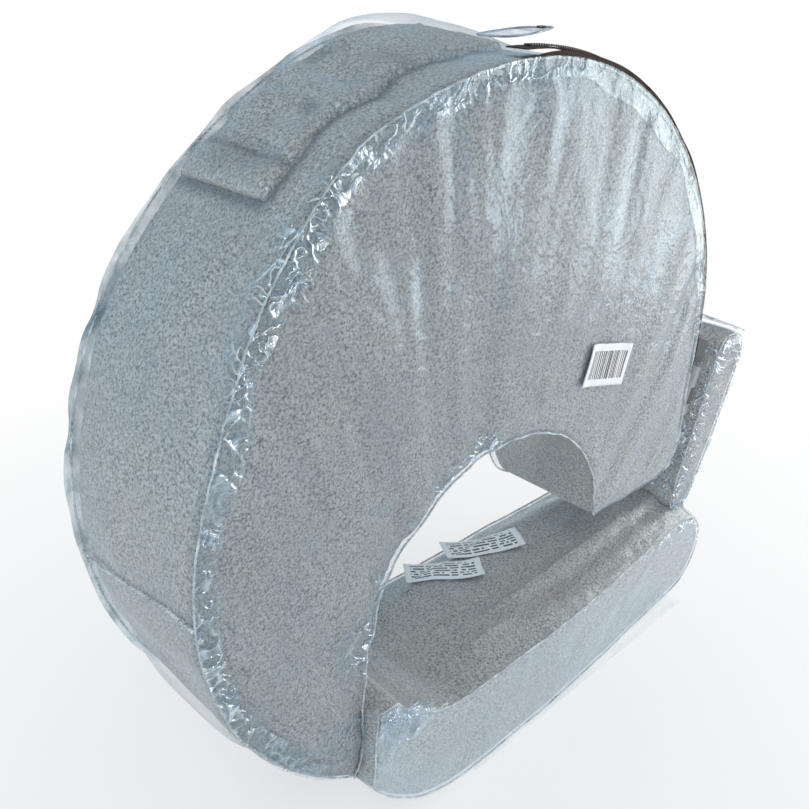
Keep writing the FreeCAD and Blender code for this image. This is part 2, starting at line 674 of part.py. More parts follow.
def wing_bag():
    """The film round the wing: its near panel, a wall over its top and outer side, and a spare corner."""
    film = "Sizes.film_thickness"
    near, depth = "Sizes.wing_near_y", "Sizes.wing_depth"
    lean(slab("bag_wing_near_panel", wing_outline, "cover_inset", film, f"{near} - 2 - {film} / 2"))

    ring = band("wing_film_ring", wing_outline, "film_ring_outer_inset", "film_ring_inner_inset",
                f"{depth} + 2", f"{near} + {depth} / 2")
    NODES.remove(ring)
    open_left, open_near, open_base, open_far_span = 250, -80, 60, 140
    inner_reach = size("wing_left_x") + 26 - open_left
    inner_side = block("wing_film_inner_side", (open_left, open_near, open_base),
                       (inner_reach, open_far_span, 230))
    under_side = block("wing_film_under_side", (open_left, open_near, open_base), (100, open_far_span, 55))
    wall = cut("wing_film_open", ring, fuse("wing_film_open_sides", inner_side, under_side))
    node(lean(wall), "bag_wing_gusset")

    corner_inset, corner_lift, corner_long = 18, 4, 34
    corner_deep = size("wing_depth") - 4
    top = size("wing_base") + size("wing_tall")
    corner = block("wing_corner_film",
                   (size("wing_left_x") + corner_inset, size("wing_near_y") + 2, top + corner_lift),
                   (corner_long, corner_deep, film))
    node(lean(corner), "bag_wing_corner")


def bag_zip():
    """The brown zip that runs from the top of the bag down its right side."""
    middle_y = -44
    film = size("gusset_radius")
    tape_lift, coil_lift, slider_lift, pull_lift = 1.1, 2.4, 5.4, 6.9
    coil_thick, slider_thick, slider_wide, pull_thick, pull_wide = 1.1, 2.7, 9, 1.1, 6
    arc_strip("bag_zip_tape", f"{film + tape_lift}", "Sizes.tape_thickness", "Sizes.tape_width",
              middle_y + size("tape_width") / 2, 1, 92)
    arc_strip("bag_zip_coil", f"{film + coil_lift}", f"{coil_thick}", "Sizes.coil_width",
              middle_y + size("coil_width") / 2, 3, 90)
    arc_strip("bag_zip_slider", f"{film + slider_lift}", f"{slider_thick}", f"{slider_wide}",
              middle_y + slider_wide / 2, 5, 7.6)
    arc_strip("bag_zip_pull", f"{film + pull_lift}", f"{pull_thick}", f"{pull_wide}",
              middle_y + pull_wide / 2, 6.3, 12)


def hang_tab():
    """The clear oval tab with a slot that stands off the top of the bag."""
    left, near, height = 14, -14, 524
    long, wide, thick, corner = 62, 26, 0.8, 12.6
    slot_left, slot_near, slot_long, slot_wide, slot_corner = 58, -8, 8, 14, 3.6
    over_cut = 4
    plate = block("tab_plate", (left, near, height), (long, wide, thick))
    slot = block("tab_slot", (slot_left, slot_near, height - over_cut), (slot_long, slot_wide, 2 * over_cut))
    tab = cut("tab_cut", rounded("tab_round", plate, corner, Z_AXIS),
              rounded("tab_slot_round", slot, slot_corner, Z_AXIS))
    node(tab, "hang_tab")


def barcode_sticker():
    """The paper sticker on the near film, turned a little."""
    tilt_deg = 14
    centre_x, centre_height = 102, 308
    long, paper, tall = 64, 0.3, 36
    off_film = 0.4
    turn = FreeCAD.Rotation(Y_AXIS, tilt_deg)
    label = block("sticker_box", (0, 0, 0), (long, paper, tall))
    label.Placement = FreeCAD.Placement(vec(centre_x, size("near_film_y") - off_film, centre_height)
                                        - turn.multVec(vec(long / 2, 0, tall / 2)), turn)
    node(label, "barcode_sticker")


for build in (crescent, pocket, hinge_flap, cover_zip, strap, backrest, care_labels, wing_flap, wing,
              buckle_socket, bag, wing_bag, bag_zip, hang_tab, barcode_sticker):
    build()
doc.recompute()

# ---------------------------------------------------------------- checks and export

for item in doc.Objects:
    if "Invalid" in item.State or "Error" in item.State:
        raise ValueError(f"{item.Label}: {item.State}")
for item in NODES:
    if item.Shape.isNull() or not item.Shape.isValid() or not item.Shape.Solids:
        raise ValueError(item.Label + ": no valid solid")
for item in NODES:
    item.Shape.exportStep(f"parts/{item.Label}.step")
print(len(NODES), "sub-parts written")
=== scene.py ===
import math

import bmesh
import bpy
import numpy as np
from mathutils import Matrix, Vector
from mathutils.bvhtree import BVHTree
from mathutils.geometry import delaunay_2d_cdt


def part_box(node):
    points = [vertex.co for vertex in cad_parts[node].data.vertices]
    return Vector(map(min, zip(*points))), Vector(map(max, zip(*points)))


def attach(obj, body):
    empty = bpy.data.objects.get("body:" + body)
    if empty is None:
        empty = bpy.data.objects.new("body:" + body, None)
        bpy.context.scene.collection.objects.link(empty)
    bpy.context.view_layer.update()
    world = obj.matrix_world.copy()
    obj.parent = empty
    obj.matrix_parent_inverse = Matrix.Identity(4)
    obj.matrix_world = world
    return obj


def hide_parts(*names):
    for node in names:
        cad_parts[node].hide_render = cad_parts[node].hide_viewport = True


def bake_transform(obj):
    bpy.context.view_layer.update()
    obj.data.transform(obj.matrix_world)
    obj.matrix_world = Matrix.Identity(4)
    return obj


# A plush nursing pillow standing on its backrest inside a clear zip bag. Metres, in the frame's axes:
# X along the backrest, Y from the near face to the far face, Z up.

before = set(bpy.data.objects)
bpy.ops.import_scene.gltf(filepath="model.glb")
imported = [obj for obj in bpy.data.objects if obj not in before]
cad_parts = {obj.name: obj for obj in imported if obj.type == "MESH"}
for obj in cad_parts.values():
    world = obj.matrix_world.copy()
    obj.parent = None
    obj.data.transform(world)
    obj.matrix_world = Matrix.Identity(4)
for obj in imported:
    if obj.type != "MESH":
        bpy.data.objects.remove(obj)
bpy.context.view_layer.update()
scene = bpy.context.scene

# ---------------------------------------------------------------- places, worked out from the frame

side_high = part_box("cover_side_band")[1]
OUTER_R = side_high.x                       # round outer wall of the crescent
RING_Z = side_high.z - OUTER_R              # height of its centre
HALF_THICK = -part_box("cover_near_panel")[0].y
WAIST_Z = 0.155                             # height of the waist opening's centre
WAIST_R = 0.1255
TIP_OUT_R = 0.054                           # the right arm's tip, rounded on both sides
TIP_IN_R = 0.051
END_X = 0.134                               # where the left arm ends against the backrest
END_TOP = 0.160

rest_low, rest_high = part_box("backrest_side_band")
REST_BASE = rest_low.z
REST_HALF = -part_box("backrest_near_panel")[0].y
REST_RIGHT = rest_high.x
REST_TALL = 0.083
REST_TOP = REST_BASE + REST_TALL
HORN_TOP = rest_high.z
VALLEY_X, VALLEY_R = -0.030, 0.090
HORN_X, HEEL_X = -0.121, -0.1275
HEEL_CENTRE_X, HEEL_R = -0.020, 0.125

WING_HINGE = Vector((0.322, 0.0, 0.086))
WING_LEAN = math.radians(16)
WING_LEFT, WING_RIGHT = 0.271, 0.318
WING_LOW, WING_HIGH = 0.084, 0.264
WING_NEAR, WING_FAR = -0.045, 0.011
WING_CORNER = 0.020


# ---------------------------------------------------------------- smooth noise, the same on every run

def hashed(cells, seed):
    """A repeatable random number in -1..1 for each integer cell."""
    mixed = (cells[..., 0] * 73856093) ^ (cells[..., 1] * 19349663) ^ (cells[..., 2] * 83492791)
    mixed = (mixed + seed * 2654435) & 0x7FFFFFFF
    mixed = ((mixed ^ (mixed >> 13)) * 1274126177) & 0x7FFFFFFF
    mixed = ((mixed ^ (mixed >> 16)) * 362437) & 0x7FFFFFFF
    return (mixed & 0xFFFF) / 32767.5 - 1.0


def noise(points, seed=0):
    """Smooth value noise of points given in cells, about -1..1."""
    base = np.floor(points).astype(np.int64)
    part = points - base
    ease = part * part * part * (part * (part * 6 - 15) + 10)
    total = np.zeros(len(points))
    for corner in range(8):
        step = np.array([corner & 1, (corner >> 1) & 1, (corner >> 2) & 1])
        weight = np.prod(np.where(step, ease, 1 - ease), axis=1)
        total += weight * hashed(base + step, seed)
    return total


def ridges(points, seed=0):
    """Sharp-crested noise, 0 in the flats and 1 on the crests."""
    return (1 - np.abs(noise(points, seed))) ** 4


def smooth_step(low, high, value):
    part = np.clip((value - low) / (high - low), 0, 1)
    return part * part * (3 - 2 * part)


def bell(value, middle, width):
    return np.exp(-((value - middle) / width) ** 2)


def columns(*values):
    """Arrays and single numbers side by side, as the columns of one table."""
    return np.column_stack(np.broadcast_arrays(*values))


# ---------------------------------------------------------------- outlines in the XZ plane

def distances(run):
    """How far along a run of points each point is."""
    return np.concatenate([[0], np.cumsum(np.linalg.norm(np.diff(run, axis=0), axis=1))])


def spots_along(run, wanted):
    """The places on a run of points at the wanted distances from its start."""
    gone = distances(run)
    return np.column_stack([np.interp(wanted, gone, axis) for axis in run.T])


def resampled(points, count):
    """The same closed run with a set number of points, spread evenly from its first point."""
    closed = np.vstack([points, points[:1]])
    return spots_along(closed, np.linspace(0, distances(closed)[-1], count, endpoint=False))


def arc_points(centre_x, centre_z, radius, start_deg, end_deg, step=0.004):
    count = max(2, int(abs(math.radians(end_deg - start_deg)) * radius / step))
    angles = np.radians(np.linspace(start_deg, end_deg, count + 1))
    return columns(centre_x + radius * np.cos(angles), centre_z + radius * np.sin(angles))


def line_points(start, end, step=0.004):
    start, end = np.array(start), np.array(end)
    count = max(1, int(np.linalg.norm(end - start) / step))
    return start + np.linspace(0, 1, count + 1)[:, None] * (end - start)


def chained(*runs):
    """Joins runs of points end to end, dropping repeats."""
    points = [runs[0]]
    for run in runs[1:]:
        points.append(run[1:] if np.allclose(points[-1][-1], run[0], atol=1e-6) else run)
    chain = np.vstack(points)
    return chain[:-1] if np.allclose(chain[0], chain[-1], atol=1e-6) else chain


def end_angles(inset):
    outer, waist, end_x = OUTER_R - inset, WAIST_R + inset, END_X + inset
    outer_deg = 360 - math.degrees(math.acos(-end_x / outer))
    inner_deg = math.degrees(math.atan2(END_TOP - WAIST_Z, -math.sqrt(waist ** 2 - (END_TOP - WAIST_Z) ** 2)))
    return outer_deg, inner_deg


def crescent_outline(inset):
    """The crescent's closed outline, counterclockwise from the right side, inset by a length."""
    outer, waist = OUTER_R - inset, WAIST_R + inset
    tip_out, tip_in = TIP_OUT_R - inset, TIP_IN_R - inset
    outer_deg, inner_deg = end_angles(inset)
    low = WAIST_Z - tip_in
    wall = arc_points(0, RING_Z, outer, 0, outer_deg)
    opening = arc_points(0, WAIST_Z, waist, inner_deg, 0)
    inner_tip = arc_points(waist + tip_in, WAIST_Z, tip_in, 180, 270)
    outer_tip = arc_points(outer - tip_out, low + tip_out, tip_out, 270, 360)
    return chained(wall, line_points(wall[-1], opening[0]), opening, inner_tip,
                   line_points(inner_tip[-1], outer_tip[0]), outer_tip,
                   line_points(outer_tip[-1], wall[0]))


def backrest_outline(inset):
    """The backrest's closed outline, counterclockwise from its flat base, inset by a length."""
    base, top = REST_BASE + inset, REST_TOP - inset
    half = (top - base) / 2
    round_x = REST_RIGHT - REST_TALL / 2
    valley, heel = VALLEY_R + inset, HEEL_R - inset
    horn_top, horn_x, heel_left = HORN_TOP - inset, HORN_X + inset, HEEL_X + inset
    valley_z, heel_z = top + valley, base + heel
    slope_deg = 360 + math.degrees(math.atan2(horn_top - valley_z,
                                              -math.sqrt(valley ** 2 - (horn_top - valley_z) ** 2)))
    heel_low = heel_z - math.sqrt(heel ** 2 - (heel_left - HEEL_CENTRE_X) ** 2)
    heel_deg = 360 + math.degrees(math.atan2(heel_low - heel_z, heel_left - HEEL_CENTRE_X))
    slope = arc_points(VALLEY_X, valley_z, valley, 270, slope_deg)
    curve = arc_points(HEEL_CENTRE_X, heel_z, heel, heel_deg, 270)
    nose = arc_points(round_x, base + half, half, -90, 90)
    return chained(line_points(curve[-1], nose[0]), nose, line_points(nose[-1], slope[0]), slope,
                   line_points(slope[-1], (horn_x, horn_top)), line_points((horn_x, horn_top), curve[0]),
                   curve)


def wing_outline(inset):
    """The wing's rounded rectangle before it leans."""
    left, right, low, high = WING_LEFT + inset, WING_RIGHT - inset, WING_LOW + inset, WING_HIGH - inset
    corner = WING_CORNER - inset
    corners = [arc_points(right - corner, low + corner, corner, 270, 360),
               arc_points(right - corner, high - corner, corner, 0, 90),
               arc_points(left + corner, high - corner, corner, 90, 180),
               arc_points(left + corner, low + corner, corner, 180, 270)]
    runs = []
    for run, following in zip(corners, corners[1:] + corners[:1]):
        runs += [run, line_points(run[-1], following[0])]
    return chained(*runs)


def lean_points(points):
    """Narrows the wing towards its foot and turns it about its hinge line by its lean."""
    narrow = 0.013 * smooth_step(0.165, WING_LOW, points[:, 2])
    narrow *= smooth_step(WING_LEFT, WING_RIGHT, points[:, 0])
    across, up = points[:, 0] - narrow - WING_HINGE.x, points[:, 2] - WING_HINGE.z
    leaned = points.copy()
    leaned[:, 0] = WING_HINGE.x + across * math.cos(WING_LEAN) + up * math.sin(WING_LEAN)
    leaned[:, 2] = WING_HINGE.z - across * math.sin(WING_LEAN) + up * math.cos(WING_LEAN)
    return leaned


# ---------------------------------------------------------------- mesh helpers

def new_object(name, verts, faces, smooth=True):
    mesh = bpy.data.meshes.new(name)
    mesh.from_pydata([tuple(v) for v in verts], [], [tuple(f) for f in faces])
    mesh.validate()
    mesh.polygons.foreach_set("use_smooth", [smooth] * len(mesh.polygons))
    item = bpy.data.objects.new(name, mesh)
    scene.collection.objects.link(item)
    return item


def vertex_values(item, name):
    found = np.zeros(len(item.data.vertices) * 3)
    item.data.vertices.foreach_get(name, found)
    return found.reshape(-1, 3)


def points_of(item):
    return vertex_values(item, "co")


def normals_of(item):
    return vertex_values(item, "normal")


def set_points(item, points):
    item.data.vertices.foreach_set("co", np.ascontiguousarray(points, dtype=np.float32).ravel())
    item.data.update()


def apply_modifiers(item):
    """Bakes an object's modifiers into its mesh."""
    graph = bpy.context.evaluated_depsgraph_get()
    baked = bpy.data.meshes.new_from_object(item.evaluated_get(graph), depsgraph=graph)
    old = item.data
    item.modifiers.clear()
    item.data = baked
    bpy.data.meshes.remove(old)
    item.data.polygons.foreach_set("use_smooth", [True] * len(item.data.polygons))
    return item


def rounded_block(name, outline, half, edge, middle_y=0.0):
    """A solid with one outline, its near and far edges rounded by edge. half is half its thickness."""
    levels = []
    for share in np.linspace(0, 1, 5):
        angle = share * math.pi / 2
        levels.append((edge * (1 - math.cos(angle)), half - edge + edge * math.sin(angle)))
    rings = [(inset, -y) for inset, y in reversed(levels)] + levels
    count = len(outline(0))
    verts, faces = [], []
    for inset, y in rings:
        ring = resampled(outline(inset), count)
        verts += [(x, middle_y + y, z) for x, z in ring]
    for level in range(len(rings) - 1):
        for spot in range(count):
            after = (spot + 1) % count
            low, high = level * count, (level + 1) * count
            faces.append((low + spot, low + after, high + after, high + spot))
    faces.append(tuple(reversed(range(count))))
    last = (len(rings) - 1) * count
    faces.append(tuple(range(last, last + count)))
    return new_object(name, verts, faces)


def remeshed(item, voxel):
    modifier = item.modifiers.new("remesh", "REMESH")
    modifier.mode = "VOXEL"
    modifier.voxel_size = voxel
    modifier.use_smooth_shade = True
    return apply_modifiers(item)


def smoothed(item, rounds):
    modifier = item.modifiers.new("smooth", "SMOOTH")
    modifier.iterations = rounds
    modifier.factor = 0.5
    return apply_modifiers(item)


def swollen(item, pressure, reach, seam_y, frames=20):
    """Inflates a closed cushion by cloth simulation with its two seams held. reach caps every move."""
    start = points_of(item)
    held = item.vertex_groups.new(name="held")
    middle = (start[:, 1].max() + start[:, 1].min()) / 2
    on_seam = (np.abs(start[:, 1] - middle) > seam_y) & (np.abs(normals_of(item)[:, 1]) < 0.97)
    held.add(np.flatnonzero(on_seam).tolist(), 1.0, "REPLACE")
    cloth = item.modifiers.new("cloth", "CLOTH")
    settings = cloth.settings
    settings.vertex_group_mass = "held"
    for key, value in (("quality", 5), ("mass", 0.3), ("tension_stiffness", 15),
                       ("compression_stiffness", 15), ("shear_stiffness", 8), ("bending_stiffness", 0.8),
                       ("use_pressure", True), ("uniform_pressure_force", pressure)):
        setattr(settings, key, value)
    settings.effector_weights.gravity = 0
    scene.frame_start, scene.frame_end = 1, frames
    cloth.point_cache.frame_start, cloth.point_cache.frame_end = 1, frames
    for number in range(1, frames + 1):
        scene.frame_set(number)
    apply_modifiers(item)
    scene.frame_set(1)
    moved = points_of(item) - start
    length = np.linalg.norm(moved, axis=1, keepdims=True)
    moved *= np.minimum(1, reach / np.maximum(length, 1e-9))
    set_points(item, start + moved)
    return item


def eased(item, points, share, rounds=3):
    """Evens out a sheet by pulling each point towards its neighbours by a share."""
    pairs = np.zeros(len(item.data.edges) * 2, int)
    item.data.edges.foreach_get("vertices", pairs)
    pairs = pairs.reshape(-1, 2)
    count = np.bincount(pairs.ravel(), minlength=len(points))[:, None]
    for _ in range(rounds):
        total = np.zeros_like(points)
        np.add.at(total, pairs[:, 0], points[pairs[:, 1]])
        np.add.at(total, pairs[:, 1], points[pairs[:, 0]])
        points = points + (total / count - points) * share[:, None]
    return points


def subdivided(item, levels=1):
    modifier = item.modifiers.new("subdivide", "SUBSURF")
    modifier.levels = modifier.render_levels = levels
    return apply_modifiers(item)


# ---------------------------------------------------------------- how the sewn shapes sit

TIP_LOW = WAIST_Z - TIP_IN_R                # lowest point of the right arm's tip
TIP_DOME = 0.095                            # how high up the tip its doming reaches


def polar(points, centre_z=RING_Z):
    """Angle in degrees, 0 at the right and rising over the top, and radius, about a centre on x 0."""
    across, up = points[:, 0], points[:, 2] - centre_z
    return np.degrees(np.arctan2(up, across)) % 360, np.hypot(across, up)


def ring_points(angle, y, radius):
    turn = np.radians(angle)
    return columns(radius * np.cos(turn), y, RING_Z + radius * np.sin(turn))


def ring_normals(angle):
    turn = np.radians(angle)
    return columns(np.cos(turn), 0, np.sin(turn))


def crescent_form(points):
    """The near seam draws in at the left shoulder and swells above it, the far rim stands proud, and the
    right arm's tip is domed and lifted a little off the backrest."""
    formed = points.copy()
    x, y, z = points.T
    angle, radius = polar(points)
    rim = smooth_step(0.16, 0.235, radius)
    drift = 0.0045 * bell(angle, 122, 12) - 0.0085 * bell(angle, 160, 18)
    proud = 0.006 * bell(angle, 99, 15) * smooth_step(-0.02, 0.045, y)
    outward = (drift * smooth_step(0.03, -0.055, y) + proud) * rim
    formed += outward[:, None] * ring_normals(angle)
    flare = 0.0045 * smooth_step(0.0, 0.05, y) * smooth_step(0.20, 0.236, radius)
    formed[:, 1] += flare * smooth_step(60, 85, angle)
    rise = np.clip((z - TIP_LOW) / TIP_DOME, 0, 1)
    dome = np.sqrt(1 - (1 - rise) ** 2)
    at_tip = smooth_step(0.06, 0.13, x)
    inner_corner = smooth_step(0.190, 0.125, x) * smooth_step(0.0, -0.02, y)
    domed = at_tip * (1 - 0.55 * inner_corner)
    formed[:, 1] *= 1 + (np.maximum(dome, 0.10) - 1) * domed
    low_down = (1 - rise) ** 2 * at_tip
    formed[:, 2] += (0.030 + 0.028 * bell(x, 0.125, 0.040)) * low_down
    formed[:, 0] += 0.010 * low_down * smooth_step(0.19, 0.14, x)
    on_end = smooth_step(-0.142, -0.134, x) * smooth_step(-0.126, -0.130, x)
    formed[:, 0] += 0.0040 * on_end * smooth_step(0.066, 0.084, z) * smooth_step(0.175, 0.150, z)
    return formed


def rest_form(points):
    """The backrest tapers towards its nose and is crowned on top, with a plump roll along its near edge and a
    dent below the hanging buckle."""
    formed = points.copy()
    x, y, z = points.T
    reach = smooth_step(0.06, 0.33, x)
    formed[:, 1] *= 1 - np.where(y < 0, 0.20, 0.05) * reach
    on_top = smooth_step(0.050, 0.083, z) * smooth_step(-0.05, 0.03, x) * smooth_step(0.337, 0.30, x)
    inward = smooth_step(REST_HALF, 0.035, np.abs(y))
    dent = bell(x, 0.250, 0.035) * smooth_step(-0.005, 0.015, y)
    crown = (0.011 + 0.009 * reach) * inward * (1 - 0.45 * dent)
    roll = 0.0065 * bell(y, -0.040, 0.008) * smooth_step(0.02, 0.12, x)
    formed[:, 2] += on_top * (crown - roll)
    formed[:, 0] -= 0.0022 * smooth_step(-0.110, -0.119, x) * smooth_step(0.080, 0.100, z)
    return formed


FAN_Z, FAN_REACH = -0.10, 0.50              # the folds fan out from this height, this far below the rim


def creased(points, normals, angle_scale, radius_scale, depth, seed):
    """Moves points along their normals by soft folds that fan out over the face."""
    angle, radius = polar(points, FAN_Z)
    cells = columns(np.radians(angle) * FAN_REACH / angle_scale, radius / radius_scale, 0.5)
    sway = noise(cells * 0.6, seed + 1)
    cells[:, 0] += 0.8 * sway
    return points + normals * (depth * noise(cells, seed))[:, None]


# ---------------------------------------------------------------- cushions

FILLING = 0.0012                            # how far the stuffed cover pushes past its pattern


PRESSURE = 3.0                              # of the cloth simulation
SEAM_BAND = 0.006                           # width of the band at each seam that the simulation holds


def cushion(name, outline, half, edge, middle_y, voxel, reach, form):
    """A stuffed cushion round an outline, inflated, and put in its sewn form."""
    item = rounded_block(name, outline, half, edge, middle_y)
    remeshed(item, voxel)
    smoothed(item, 1)
    swollen(item, PRESSURE, reach, half - SEAM_BAND)
    set_points(item, form(points_of(item)))
    return subdivided(item)


def crescent_cushion():
    """The plush body of the pillow, with folds fanning over its near face."""
    item = cushion("crescent_cushion", lambda inset: crescent_outline(inset - FILLING), HALF_THICK, 0.0035,
                   0.0, 0.0045, 0.005, crescent_form)
    points, normals = points_of(item), normals_of(item)
    angle, radius = polar(points)
    near = smooth_step(-0.2, -0.8, normals[:, 1]) * smooth_step(0.245, 0.225, radius)
    folds = creased(points, normals, 0.021, 0.15, 0.0036, 3)
    folds = creased(folds, normals, 0.009, 0.07, 0.0011, 13)
    lumps = normals * (0.0012 * noise(points / 0.035, 9))[:, None]
    wall = smooth_step(0.8, 0.3, np.abs(normals[:, 1]))
    bunch = wall * bell(angle, 118, 30) + wall * bell(angle, 205, 20)
    tucks = normals * (0.0022 * noise(points / np.array([0.018, 0.05, 0.018]), 5) * bunch)[:, None]
    set_points(item, points + (folds - points) * near[:, None] + lumps + tucks)
    return item


def backrest_cushion():
    item = cushion("backrest_cushion", lambda inset: backrest_outline(inset - FILLING / 2), REST_HALF, 0.005,
                   0.0, 0.0045, 0.004, rest_form)
    points, normals = points_of(item), normals_of(item)
    lumps = 0.0010 * noise(points / 0.035, 19)
    pulls = 0.0024 * (ridges(points / np.array([0.09, 0.016, 0.05]), 21) - 0.3)
    pulls *= smooth_step(0.3, 0.9, normals[:, 2]) * smooth_step(-0.05, 0.03, points[:, 0])
    points = points + normals * (lumps + pulls)[:, None]
    points[:, 2] = np.maximum(points[:, 2], REST_BASE)
    set_points(item, points)
    return item


def wing_cushion():
    half, middle = (WING_FAR - WING_NEAR) / 2, (WING_FAR + WING_NEAR) / 2
    item = cushion("wing_cushion", wing_outline, half, 0.008, middle, 0.004, 0.005, lean_points)
    points, normals = points_of(item), normals_of(item)
    lumps = 0.0022 * noise(points / np.array([0.022, 0.03, 0.05]), 29)
    set_points(item, points + normals * lumps[:, None])
    return item


# ---------------------------------------------------------------- cloth and film pieces

def even_grid(rows, across):
    """The u and v of rows by across points, both in 0..1, and the faces that join them."""
    u, v = np.meshgrid(np.linspace(0, 1, rows), np.linspace(0, 1, across), indexing="ij")
    first = (np.arange(rows - 1)[:, None] * across + np.arange(across - 1)).ravel()
    return u.ravel(), v.ravel(), columns(first, first + across, first + across + 1, first + 1)


def grid(name, rows, across, place):
    """A sheet of rows by across points at place(u, v)."""
    u, v, faces = even_grid(rows, across)
    return new_object(name, place(u, v), faces)


def flat_sheet(name, outline, y, step):
    """A flat sheet in the XZ plane that fills an outline with small triangles."""
    border = resampled(outline, int(perimeter(outline) / step))
    low, high = border.min(axis=0), border.max(axis=0)
    row_gap = step * 0.87
    rows = np.arange(low[1], high[1], row_gap)
    inner = np.array([(x + (number % 2) * step / 2, z) for number, z in enumerate(rows)
                      for x in np.arange(low[0], high[0], step)])
    inner = inner[inside(inner, border) & (distance_to(inner, border) > step * 0.6)]
    flat = [Vector(point) for point in np.vstack([border, inner])]
    filled = delaunay_2d_cdt(flat, [], [list(range(len(border)))], 1, 1e-6)
    verts = [(point[0], y, point[1]) for point in filled[0]]
    return new_object(name, verts, filled[2])


def perimeter(outline):
    return np.linalg.norm(outline - np.roll(outline, 1, axis=0), axis=1).sum()


def inside(points, border):
    """Whether each point is inside a closed outline, by counting crossings."""
    x, z = points.T
    result = np.zeros(len(points), bool)
    for (x0, z0), (x1, z1) in zip(border, np.roll(border, -1, axis=0)):
        crosses = (z0 > z) != (z1 > z)
        if z0 != z1:
            result ^= crosses & (x < (x1 - x0) * (z - z0) / (z1 - z0) + x0)
    return result


def distance_to(points, border):
    """Distance from each point to a closed outline's points."""
    nearest = np.full(len(points), np.inf)
    for spot in border:
        nearest = np.minimum(nearest, np.hypot(points[:, 0] - spot[0], points[:, 1] - spot[1]))
    return nearest


def tube(name, path, radius, sides=8, closed=False):
    """A round cord along a path."""
    count = len(path)
    if closed:
        ahead = np.roll(path, -1, axis=0) - np.roll(path, 1, axis=0)
    else:
        ahead = np.gradient(path, axis=0)
    ahead /= np.linalg.norm(ahead, axis=1, keepdims=True)
    side = np.cross(ahead, np.array([0.0, 1.0, 0.02]))
    side /= np.linalg.norm(side, axis=1, keepdims=True)
    other = np.cross(ahead, side)
    angles = np.linspace(0, 2 * math.pi, sides, endpoint=False)[None, :, None]
    verts = path[:, None] + radius * (np.cos(angles) * side[:, None] + np.sin(angles) * other[:, None])
    faces = []
    for number in range(count if closed else count - 1):
        low, high = number * sides, ((number + 1) % count) * sides
        for corner in range(sides):
            after = (corner + 1) % sides
            faces.append((low + corner, low + after, high + after, high + corner))
    if not closed:
        faces.append(tuple(reversed(range(sides))))
        faces.append(tuple(range((count - 1) * sides, count * sides)))
    return new_object(name, verts.reshape(-1, 3), faces)


def mark(item, name, values):
    """Stores a number on every vertex for the material to read: one for each, or one for all."""
    attribute = item.data.attributes.get(name) or item.data.attributes.new(name, "FLOAT", "POINT")
    values = np.broadcast_to(np.asarray(values, dtype=np.float32), len(item.data.vertices))
    attribute.data.foreach_set("value", np.ascontiguousarray(values))


def hugged(points, tree, gap, hold):
    """Points laid on a cushion: hold 1 sits gap above it, hold 0 stays, but never nearer than gap."""
    gap, hold = np.broadcast_to(gap, len(points)), np.broadcast_to(hold, len(points))
    laid = points.copy()
    for number, point in enumerate(points):
        spot, normal, _, _ = tree.find_nearest(Vector(point))
        away = (Vector(point) - spot).dot(normal)
        target = spot + normal * gap[number]
        if away < gap[number]:
            laid[number] = target
        elif hold[number] > 0:
            laid[number] = point + (np.array(target) - point) * hold[number]
    return laid


def drawn_in(path, tree):
    """A seam's path drawn in to its cushion like the film it joins."""
    return hugged(path, tree, FILM_GAP, RIM_HOLD)


def tree_of(item):
    graph = bpy.context.evaluated_depsgraph_get()
    return BVHTree.FromObject(item, graph)


FILM_OUT = 0.0019                           # how far the bag stands outside the cover
FILM_GAP = 0.0010
RIM_HOLD = 0.7                              # how far the seams are drawn in to the cushion, of 1


def film_panel(name, tree, outline, y, form, strength, bunch):
    """One flat side of the bag, laid over its cushion, with sharp creases. bunch gives where it gathers."""
    item = flat_sheet(name, outline, y, 0.0028)
    points = points_of(item)
    edge = distance_to(points[:, [0, 2]], resampled(outline, 500))
    angle, radius = polar(points, FAN_Z)
    gather = bunch(points, edge)
    fan = columns(np.radians(angle) * FAN_REACH / 0.019, radius / 0.10, y * 40)
    fan[:, 0] += 0.7 * noise(fan * 0.7, 31)
    creases = smooth_step(0.1, 0.9, ridges(fan, 33)) * 0.0012
    crush = ridges(points / 0.013 + noise(points / 0.02, 35)[:, None] * 0.6, 37) * 0.0028 * gather
    crush += ridges(points / 0.006, 39) * 0.0012 * gather
    gap = FILM_GAP + strength * creases
    hold = RIM_HOLD + (1 - RIM_HOLD) * smooth_step(0.0, 0.022, edge)
    laid = hugged(form(points), tree, gap, hold)
    laid = eased(item, laid, 0.6 * smooth_step(0.0, 0.006, edge))
    laid[:, 1] += math.copysign(strength, y) * crush
    set_points(item, laid)
    mark(item, "gather", gather)
    mark(item, "fold", ridges(fan * np.array([1.3, 1.6, 1.0]), 47))
    return item


